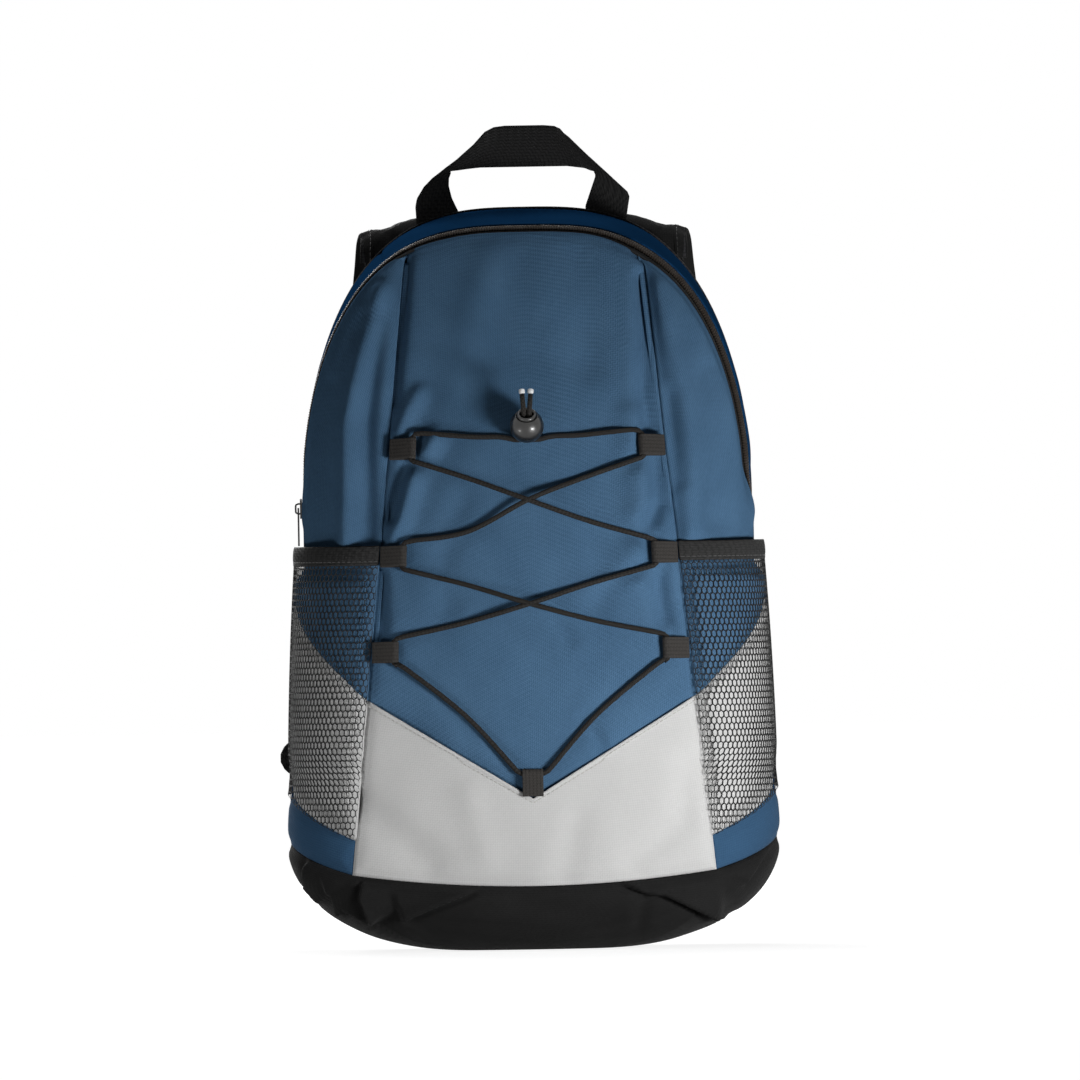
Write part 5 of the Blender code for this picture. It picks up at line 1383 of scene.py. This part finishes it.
mouth, tail = (math.sqrt(LOCK_RADIUS ** 2 - hole ** 2) for hole in (BORE, CORD_HOLE))
bend = np.linspace(math.atan2(mouth, BORE) - 0.06, math.atan2(-tail, CORD_HOLE) + 0.06, 36)
ball = [(BORE + 0.15, mouth - 0.5), (BORE + 0.3, mouth - 0.12)]
ball += [(LOCK_RADIUS * math.cos(b), LOCK_RADIUS * math.sin(b)) for b in bend]
ball += [(CORD_HOLE + 0.1, -tail + 0.3), (CORD_HOLE, LOCK_FLOOR), (BORE, LOCK_FLOOR)]
dress(spun("lock_ball", ball[::-1], smoked), "bag", "smoked_plastic", "cord_lock_body")
push = [(CORD_HOLE + 1, PLUNGER_HIGH), (BORE - PLAY, PLUNGER_HIGH - 1), (BORE - PLAY, PLUNGER_LOW),
        (CORD_HOLE, PLUNGER_LOW), (CORD_HOLE, PLUNGER_HIGH - 1)]
plunger = spun("lock_plunger", rounded(push, 0.5)[::-1], smoked)
dress(plunger, "plunger", "black_plastic", "cord_lock_plunger")

low, high = LOCK_FLOOR + PLAY, PLUNGER_LOW - PLAY
turn = np.linspace(0, 2 * math.pi * COILS, 40 * COILS + 1)
radius = (CORD_HOLE + BORE) / 2
coil = np.stack([np.cos(turn) * radius, np.sin(turn) * radius,
                 np.linspace(low + WIRE, high - WIRE, len(turn))], axis=-1)
coil = [lock_place @ Vector(spot) for spot in coil]
spring = tube("lock_spring", coil, WIRE, spring_steel, around=10)
dress(spring, "bag", "spring_steel", "cord_lock_spring")
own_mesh(spring)
print("cord lock at", [round(c, 1) for c in lock_centre])

# %% [markdown]
# Grab handle
#
# The handle is one length of webbing. Its legs are sewn to the back, lean in and turn into the
# crown with the webbing still flat, so its outer edge cuts each corner. At the right corner it is
# folded sharply, at the left it only bends. The mesh is a strip between the two edges, cut at
# matching corners. It bends where the legs are sewn, so the strip's lean fades out across its
# foot, where it lies on the bag.

# %% Grab handle
HANDLE_Y, FOOT, CROWN, SEWN, WEB = 63.3, 447.0, 495.0, 419.0, 1.8
FOLD_TOP, FOLD_LOW = (22.6, 492.6), (43.2, 466.6)
OUTER = (((-64.5, SEWN), (-64.5, 438), (-65, 447), (-64, 452), (-59.6, 459), (-54.2, 464.4),
          (-39.2, 475.2)),
         ((-39.2, 475.2), (-29.6, 483.6), (-22.4, 491.4)),
         ((-22.4, 491.4), (-17, 494.2), (-10.4, CROWN), (13, CROWN), (19.6, 494.4), FOLD_TOP),
         (FOLD_TOP, (44, 472.2)),
         ((44, 472.2), (63.2, 454), (64.3, 451), (62.2, 438), (62, SEWN)))
INNER = (((-37.5, SEWN), (-38.2, 442), (-42.8, 451.8), (-44.6, 459), (-44.4, 466.5),
          (-43.2, 468.2)),
         ((-43.2, 468.2), (-35, 469.2), (-25.4, 470)),
         ((-25.4, 470), (27.1, 470)),
         ((27.1, 470), (37.6, 468.6), FOLD_LOW),
         (FOLD_LOW, (44, 464), (37.6, 446), (37.5, SEWN)))
STEPS = (44, 16, 40, 16, 44)
strip = []
for edge in (INNER, OUTER):
    line = []
    for part, steps in zip(edge, STEPS):
        part = np.array([(x, 0, z) for x, z in part], float)
        line.append(even_steps(part, steps)[:-1])
    strip.append(np.concatenate(line + [part[-1:]]))
across = np.linspace(0, 1, 13)[None, :, None]
handle = lerp(strip[0][:, None, :], strip[1][:, None, :], across)
x, z = handle[..., 0], handle[..., 2]
right_of_fold = np.maximum((x - FOLD_TOP[0]) * 0.783 + (z - FOLD_TOP[1]) * 0.622, 0)
left_of_bend = np.maximum(-x - 44, 0)
lean = 2.0 * np.sin(x / 19 + 0.6) - 2.5
lean += 0.22 * np.minimum(right_of_fold, 22) + fold(x, z, (FOLD_TOP, FOLD_LOW), 2.2, 2.4, 1)
lean += 0.2 * np.minimum(left_of_bend, 16) + fold(x, z, ((-22, 490), (-43, 468)), -1.4, 4.5)
handle[..., 1] = HANDLE_Y + lean * smooth((z - FOOT) / 30)
grab = cloth_piece("grab_webbing", handle, webbing, WEB, outside=REARWARD, offset=0)
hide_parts("grab_handle", "left_handle_end", "right_handle_end")
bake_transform(grab)
print("handle webbing:", round(float(run_length(handle[:, 6])[-1])), "mm long")

# %% [markdown]
# Swelling of padded cloth
#
# Padded cloth swells between the lines where it is sewn, and it wrinkles where it bends. This is
# what a cloth simulation is good at: the sewn points are pinned, a little pressure blows the rest
# outward for a few frames, and the result is written back to the mesh. A cap keeps every point
# near its place, so that the pad stays in the room that it has.

# %% Swelling of padded cloth
FRAMES, STRETCH = 18, -0.04  # length of the simulation, and cloth that is cut a little too large


def settle(thing, sewn, pressure, cap):
    """Blow up a piece of cloth between its sewn points, by at most a cap in mm."""
    start = np.empty(len(thing.data.vertices) * 3)
    thing.data.vertices.foreach_get("co", start)
    group = thing.vertex_groups.new(name="sewn")
    group.add(np.flatnonzero(sewn).tolist(), 1.0, 'REPLACE')
    thing.modifiers["thickness"].show_viewport = False
    cloth = thing.modifiers.new("cloth", 'CLOTH')
    cloth.settings.vertex_group_mass = "sewn"
    cloth.settings.use_pressure = True
    cloth.settings.uniform_pressure_force = pressure
    cloth.settings.effector_weights.gravity = 0
    cloth.settings.shrink_min = STRETCH
    cloth.point_cache.frame_end = FRAMES
    for step in range(1, FRAMES + 1):
        bpy.context.scene.frame_set(step)
    done = np.empty_like(start)
    blown = thing.evaluated_get(bpy.context.evaluated_depsgraph_get())
    blown.data.vertices.foreach_get("co", done)
    move = (done - start).reshape(-1, 3) / MM
    far = np.linalg.norm(move, axis=1, keepdims=True)
    move *= cap * np.tanh(far / cap) / np.maximum(far, 1e-9)
    thing.modifiers.remove(cloth)
    thing.vertex_groups.remove(group)
    bpy.context.scene.frame_set(1)
    thing.modifiers["thickness"].show_viewport = True
    thing.data.vertices.foreach_set("co", (start.reshape(-1, 3) + move * MM).ravel())
    thing.data.update()
    print(thing.name, "swelled by", round(float(np.linalg.norm(move, axis=1).max()), 1), "mm")


print("simulation is", "on")

# %% [markdown]
# Back
#
# The wearer's side is a padded panel of black spacer mesh. It is sewn down along two upright and
# three level lines, so it stands in soft blocks that let air through. Above them a plain yoke
# carries the handle and the straps. The photograph does not show this side, so it follows what
# such bags usually have.

# %% Back
QUILT_X, QUILT_Z, YOKE_Z, PAD_RISE = (-44.0, 44.0), (122.0, 204.0, 288.0), 392.0, 3.4
BACK_PITCH, BACK_SINK = 4.0, 0.3  # of the stitches
PAD_PRESSURE, PAD_CAP = 1.2, 1.2

turn = math.pi / 2 * (1 - (1 - np.linspace(0, 1, 90)[:-1]) ** CROWDING)
straight = np.linspace(BASE_SIDE - 2.5, SPRING, 85)[:-1]  # it starts behind the base's rim
levels_z = np.concatenate([straight, lerp(SPRING, BACK_TOP, np.sin(turn))])
half_back = np.concatenate([back_x(straight), HALF_WIDTH * np.cos(turn) ** (2 / 3)])
across = np.linspace(-1, 1, 113)
x = half_back[:, None] * across
z = levels_z[:, None] + 0 * across
near = np.minimum(np.min([np.abs(x - line) for line in QUILT_X], axis=0),
                  np.min([np.abs(z - line) for line in (*QUILT_Z, YOKE_Z)], axis=0))
near = np.where(z > YOKE_Z, np.abs(z - YOKE_Z), near)
border = np.minimum(half_back[:, None] - np.abs(x), np.minimum(z - BASE_SIDE, BACK_TOP - z))
pad = PAD_RISE * (1 - np.exp(-(np.minimum(near, border) / 9) ** 2)) - 0.5
pad = np.where(z > YOKE_Z, -0.3 - 0.2 * np.exp(-(near / 5) ** 2), pad)
pad = np.minimum(pad, lerp(-SEAM_DEPTH, PAD_RISE, np.clip(border / 8, 0, 1)))
pad = pad - 1.2 * (z < BASE_SIDE)
grid = np.stack([x, BACK_Y + pad, z], axis=-1)
back_cloth = cloth_piece("back_pad_cloth", grid, spacer, 1.2, outside=REARWARD)
sewn = (near < 1.6) | (border < 2.5) | (z > YOKE_Z - 3)
settle(back_cloth, sewn.ravel(), PAD_PRESSURE, PAD_CAP)
dress(back_cloth, "bag", "black_fabric", "back_panel", "back_foam", "back_lining")
heights = np.arange(BASE_SIDE + 4, YOKE_Z - 2, BACK_PITCH)
for index, line in enumerate(QUILT_X, 1):
    seam = [(line, BACK_Y - BACK_SINK, height) for height in heights]
    stitches(f"back_upright_stitches_{index}", seam, REARWARD, BACK_PITCH, black_thread,
             "black_fabric")
for index, line in enumerate((*QUILT_Z, YOKE_Z), 1):
    reach = float(np.interp(line, levels_z, half_back)) - 4
    seam = [(spot, BACK_Y - BACK_SINK, line) for spot in np.arange(-reach, reach, BACK_PITCH)]
    stitches(f"back_level_stitches_{index}", seam, REARWARD, BACK_PITCH, black_thread,
             "black_fabric")
print("back pad points:", len(back_cloth.data.vertices))

# %% [markdown]
# Shoulder straps
#
# Each strap is a foam pad between a plain outer cloth and an inner spacer mesh. The two cloths
# meet at the edges under a binding tape, sewn through. Here each cloth is a strip along the
# strap's route that falls to the edges, swollen by the simulation, and the binding is a tape
# wrapped round the edge. At the top the strap thins into the yoke's seam.

# %% Shoulder straps
STRAP_ROUTE = ((60, 5.5, 414), (60, 7, 427), (60.5, 15, 437.5), (62, 30, 439.5),
               (64.5, 46, 427), (68.5, 56, 400), (77.5, 61, 355), (84.5, 60, 308),
               (87, 55, 260), (91.5, 46, 215), (99.5, 38, 186), (112, 31, 165))
STRAP_TOP_WIDTH, STRAP_END_WIDTH, STRAP_DEPTH, STRAP_TILT = 76.0, 40.0, 9.8, 0.16
BINDING, WRAP, TAPE_RISE = 7.0, 0.35, 0.55  # binding's width, its share round the edge, its rise
STRAP_PRESSURE, STRAP_CAP = 1.5, 1.2


def strap_path(side, spacing):
    """Middle line of a strap's outer face, with its right, inward and along directions."""
    path = smooth_path([Vector((side * x, BACK_Y + y, z)) for x, y, z in STRAP_ROUTE], spacing)
    frames = []
    for k, spot in enumerate(path):
        along = (path[min(k + 1, len(path) - 1)] - path[max(k - 1, 0)]).normalized()
        right = Vector((1, 0, -side * STRAP_TILT * (1 - k / (len(path) - 1))))
        right = (right - along * right.dot(along)).normalized()
        frames.append((spot, right, along.cross(right), along))
    return frames


def strap_form(side):
    """Arrays of a strap's frames, with its half width and the share of its full thickness."""
    frames = strap_path(side, 3.0)
    spot, right, inward = (np.array([np.array(f[k]) for f in frames]) for k in range(3))
    share = np.linspace(0, 1, len(frames))
    half = lerp(STRAP_TOP_WIDTH, STRAP_END_WIDTH, smooth(share)) / 2
    run = run_length(spot)
    full = np.minimum(lerp(0.3, 1.0, smooth(run / 22)),
                      lerp(0.35, 1.0, smooth((run[-1] - run) / 12)))
    return spot, right, inward, half, full


def strap_face(form, share, inside):
    """Points of a strap's outer or inner face; share runs from -1 to 1 over its width."""
    spot, right, inward, half, full = form
    fall = STRAP_DEPTH / 2 * np.abs(share) ** 2.4
    middle = STRAP_DEPTH / 2
    depth = middle - fall if inside else -middle + fall
    depth = middle + depth * full[:, None]
    return (spot[:, None] + right[:, None] * (half[:, None] * share)[..., None]
            + inward[:, None] * depth[..., None])


FACES = (("outer_cloth", False, black_polyester, "black_fabric", "strap_cover"),
         ("inner_cloth", True, spacer, "foam", "strap_pad"))
for name, side in SIDES:
    form = strap_form(side)
    spot, right, inward, half = form[:4]
    share = np.linspace(-1, 1, 25)[None, :] + 0 * half[:, None]
    sewn = np.abs(share) > 0.9
    sewn[:2], sewn[-2:] = True, True
    for kind, inside, finish, slot, node in FACES:
        grid = strap_face(form, share, inside)
        out = (1 if inside else -1) * inward[:, None]
        cloth = cloth_piece(f"{name}_strap_{kind}", grid, finish, 0.9, outside=out)
        settle(cloth, sewn.ravel(), STRAP_PRESSURE, STRAP_CAP)
        dress(cloth, f"{name}_strap", slot, f"{name}_{node}")
    for edge, sign in SIDES:
        wrap = []
        for turn in np.linspace(-1, 1, 13):
            inset = BINDING * max(abs(turn) - WRAP, 0) / (1 - WRAP)
            face = strap_face(form, sign * (1 - inset / half)[:, None], turn >= 0)[:, 0]
            lift = TAPE_RISE * (np.sign(turn) if abs(turn) > WRAP else turn / WRAP)
            bulge = math.cos(min(abs(turn) / WRAP, 1) * math.pi / 2)
            wrap.append(face + inward * lift + right * sign * bulge)
        wrap = np.stack(wrap, axis=1)
        out = wrap - (spot + inward * STRAP_DEPTH / 2)[:, None]
        tape = cloth_piece(f"{name}_strap_{edge}_binding", wrap, zip_cloth, 0.4, outside=out)
        dress(tape, f"{name}_strap", "black_fabric")
        for row, off in ((1, -inward), (11, inward)):
            stitches(f"{name}_strap_{edge}_stitches_{row}", wrap[:, row] + off * 0.1, off, 3.4,
                     black_thread, "black_fabric", f"{name}_strap")
print("strap length:", round(float(run_length(spot)[-1])), "mm")

# %% [markdown]
# Strap yoke
#
# The strap tops and the handle ends disappear under a strip of doubled black cloth that is sewn
# across the back. It rises over the strap roots and lies flat between them.

# %% Strap yoke
YOKE_LOW, YOKE_TOP, ROOT_X, ROOT_HALF, YOKE_RISE = 394, 412, 60, 44, 12.8

x, z = np.meshgrid(np.linspace(-1, 1, 99), np.linspace(YOKE_LOW, YOKE_TOP, 14))
x = x * (back_x(z) - 3)
rise = smooth((ROOT_HALF - np.abs(np.abs(x) - ROOT_X)) / 8) * smooth((z - YOKE_LOW - 1) / 14)
yoke = np.stack([x, BACK_Y + 1.0 + YOKE_RISE * rise, z], axis=-1)
yoke_cloth = cloth_piece("strap_yoke", yoke, black_polyester, 1.0, outside=REARWARD)
dress(yoke_cloth, "bag", "black_fabric")
for index, row in enumerate((1, 11), 1):
    stitches(f"yoke_stitches_{index}", yoke[row] + REARWARD * 0.1, REARWARD, 3.4, black_thread,
             "black_fabric")
print("yoke:", len(yoke_cloth.data.vertices), "points")

# %% [markdown]
# Ladder locks and lower webbing
#
# At its lower end each strap holds a moulded ladder lock in a loop of webbing. The lower webbing
# hangs in a bend from the anchor tab at the bag's corner, comes up to the lock's lower bar, folds
# round it and ends in a short tail. The fold rides with the lock, and the hanging bend runs from
# the bag to the strap. The lock is a plate with a slot: two rounded outlines, joined into a ring.

# %% Ladder locks and lower webbing
LOCK_WIDTH, LOCK_LENGTH, LOCK_THICK, LOCK_BAR = 33.0, 22.0, 3.6, 3.6
WEB_FOLD = math.hypot(LOCK_BAR, LOCK_THICK) / 2 + CORD_GAP + WEB / 2
LOOP_START, STRAP_LOOP, LOOP_SEWN, WEB_HALF = LOOP_SEAT + WEB / 2, 11.0, 9, 12
ROOT, DROOP = (131, 65.4, 116), ((66.5, 100), (70, 87), (77, 82), (82, 90))
UPPER_BAR = LOOP_START + STRAP_LOOP
LOWER_BAR = UPPER_BAR + LOCK_LENGTH - LOCK_BAR


def round_box(width, height, radius, steps=7):
    """Outline of a rectangle with round corners."""
    outline = []
    for x, y, start in ((1, 1, 0), (-1, 1, 90), (-1, -1, 180), (1, -1, 270)):
        for turn in np.radians(np.linspace(start, start + 90, steps)):
            outline.append((x * (width / 2 - radius) + radius * math.cos(turn),
                            y * (height / 2 - radius) + radius * math.sin(turn)))
    return np.array(outline)


def ring_plate(name, outer, inner, thick, place, finish, bevel):
    """A plate between two outlines of as many points, in a frame's X and Z, thick along Y."""
    count = len(outer)
    loops = [(outer, -1), (outer, 1), (inner, 1), (inner, -1)]
    points = [place @ Vector((x, level * thick / 2, z))
              for outline, level in loops for x, z in outline]
    faces = []
    for k in range(4):
        for i in range(count):
            j = (i + 1) % count
            after = (k + 1) % 4
            faces.append((k * count + i, k * count + j, after * count + j, after * count + i))
    plate = piece(name, points, faces, finish, sharp=True)
    edge = plate.modifiers.new("moulded edge", 'BEVEL')
    edge.width, edge.segments, edge.limit_method = bevel * MM, 3, 'ANGLE'
    return plate


def strap_end(side):
    """A frame at a strap's lower end: X across, Y towards the bag, Z down the strap."""
    spot, right, inward, along = strap_path(side, 22.0)[-1]
    place = Matrix((right, inward, along)).transposed().to_4x4()
    place.translation = spot + inward * (STRAP_DEPTH + 2.3) / 2
    return place


def strap_tape(name, place, path):
    """Webbing along a path of places down the strap and off it, in a frame at the strap's end."""
    spots = smooth_path([place @ Vector((0, off, along)) for along, off in path], 1.5)
    return ribbon(name, spots, place.to_3x3() @ Vector((WEB_HALF, 0, 0)), webbing, WEB)


bends = [(WEB_FOLD * math.cos(t), WEB_FOLD * math.sin(t))
         for t in np.linspace(-math.pi / 2, math.pi / 2, 13)]
for name, side in SIDES:
    place = strap_end(side)
    rise = ((LOOP_START - LOOP_SEWN, 0.45), (LOOP_START, 0.6), (LOOP_START + 4, 1.0))
    path = [(along, -WEB_FOLD * share) for along, share in rise]
    path += [(UPPER_BAR + along, off) for along, off in bends]
    path += [(along, WEB_FOLD * share) for along, share in rise[::-1]]
    loop = strap_tape(f"{name}_strap_webbing_loop", place, path)
    dress(loop, f"{name}_strap", "black_webbing", f"{name}_strap_loop")

    middle = place @ Matrix.Translation((0, 0, (UPPER_BAR + LOWER_BAR) / 2))
    slot = round_box(LOCK_WIDTH - 2 * LOCK_BAR, LOCK_LENGTH - 2 * LOCK_BAR, 1.2)
    lock = ring_plate(f"{name}_ladder_buckle", round_box(LOCK_WIDTH, LOCK_LENGTH, 3.0), slot,
                      LOCK_THICK, middle, acetal, 0.9)
    dress(lock, f"{name}_buckle", "black_plastic", f"{name}_ladder_lock")

    tail = ((18, -WEB_FOLD - 2.5), (13, -WEB_FOLD - 1.0), (7, -WEB_FOLD))
    path = [(LOWER_BAR + along, off) for along, off in tail]
    path += [(LOWER_BAR - along, off) for along, off in bends]
    path += [(LOWER_BAR + 7, WEB_FOLD), (LOWER_BAR + 14, WEB_FOLD)]
    web = strap_tape(f"{name}_adjuster_webbing", place, path)
    dress(web, f"{name}_buckle", "black_webbing", f"{name}_lower_webbing")

    root, end = Vector(ROOT), place @ Vector((0, WEB_FOLD, LOWER_BAR + 12))
    root.x *= side
    lean = end - place @ Vector((0, WEB_FOLD, LOWER_BAR))
    droop = [Vector((root.x, y, z)) for y, z in DROOP]
    spots = smooth_path([root, *droop, end + lean * 0.5, end, end - lean * 0.4], 1.5)
    width = place.to_3x3() @ Vector((WEB_HALF, 0, 0))
    run = ribbon(f"{name}_webbing_run", spots, width, webbing, WEB)
    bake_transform(run)
    print(name, "webbing runs", round((end - root).length), "mm to", [round(c, 1) for c in end])

# %% [markdown]
# Anchor tabs
#
# A tab of folded webbing is sewn in each lower corner of the back and takes the end of the lower
# webbing. It is rounded at its outer end, so its mesh is a strip between two curved edges.

# %% Anchor tabs
TAB_INNER, TAB_OUTER = 126.0, {"left": 152.0, "right": 147.0}
TAB_Y, TAB_Z, TAB_HALF = 63.3, 116.0, 14.0

for name, side in SIDES:
    share, across = shares(12, 12)
    half = TAB_HALF * np.sqrt(1 - 0.97 * share ** 2.6)
    grid = np.stack([side * lerp(TAB_INNER, TAB_OUTER[name], share),
                     TAB_Y + 0.6 * np.sin(math.pi * share) + 0 * across,
                     TAB_Z + half * (2 * across - 1)], axis=-1)
    tab = cloth_piece(f"{name}_anchor_webbing", grid, webbing, WEB, outside=REARWARD, offset=0)
    dress(tab, "bag", "black_webbing", f"{name}_anchor_tab")
    box = grid[[2, 2, 10, 10, 2], [1, 6, 6, 1, 1]] + REARWARD * WEB / 2
    count = stitches(f"{name}_anchor_stitches", box, REARWARD, 3.0, dark_thread, "black_webbing")
print("stitches round each tab:", count)

# %% [markdown]
# Slider and puller
#
# The slider is a small moulded body that is wider at the end where the rows meet, with a bridge
# over it. The puller is a flat tab whose bar passes under the bridge.

# %% Slider and puller
SLIDER_SPOT, SLIDER_THICK, BRIDGE_RADIUS = (-135.7, -3.4, 266.0), 1.2, 0.55
HOLE_Z, BAR_Z, HOLE_HALF = -2.7, 0.6, 2.0
PULLER_HALF, TIP_HALF, PULLER_LENGTH, PULLER_OFF = 3.25, 2.6, 22.4, 2.225

slider_place = Matrix.Translation(SLIDER_SPOT) @ Matrix.Rotation(math.pi / 2, 4, 'Z')
outline = np.array([(2.2, 6), (3.4, 5.2), (4, 3), (3.7, 0), (3.3, -3), (2.8, -5.4), (1.8, -6)])
outline = np.concatenate([outline, outline[::-1] * (-1, 1)])
lid_place = slider_place @ Matrix.Translation((0, SLIDER_THICK / 2, 0))
lid = ring_plate("slider_body", outline, outline * 0.12, SLIDER_THICK, lid_place, acetal, 0.3)
dress(lid, "slider", "black_plastic", "zip_slider")
arch = ((0.6, 3.0), (2.4, 2.9), (3.6, 2.3), (3.8, 1.2))
arch += tuple((off, -z) for off, z in arch[::-1])
bridge_line = smooth_path([slider_place @ Vector((0, off, z)) for off, z in arch], 0.4)
dress(tube("slider_bridge", bridge_line, BRIDGE_RADIUS, acetal), "slider", "black_plastic")

turns = np.radians(np.linspace(0, 360, 32, endpoint=False))


def squared(factor):
    """A ring of radius one with flattened sides, across and up."""
    return (np.clip(factor * part(turns), -1, 1) for part in (np.cos, np.sin))


across, up = squared(1.25)
hole = np.stack([HOLE_HALF * across, HOLE_Z + HOLE_HALF * up], axis=-1)
across, up = squared(1.3)
reach = np.where(up > 0, BAR_Z - HOLE_Z, PULLER_LENGTH + HOLE_Z)
rim = np.stack([np.where(up < 0, TIP_HALF, PULLER_HALF) * across, HOLE_Z + reach * up], axis=-1)
puller_place = slider_place @ Matrix.Translation((0, PULLER_OFF, 0))
tab = ring_plate("puller_tab", rim, hole, 1.0, puller_place, acetal, 0.3)
dress(tab, "puller", "black_plastic", "zip_puller")
print("slider and puller at", [round(c, 1) for c in slider_place.translation])

# %% [markdown]
# Sizes
#
# The dressed bag has to stay in the box of its solids, apart from the little that cloth may stand
# proud. The box of the dressed bag is printed.

# %% Sizes
low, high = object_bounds()
print("visual box, mm:", [round((b - a) / MM, 1) for a, b in zip(low, high)])
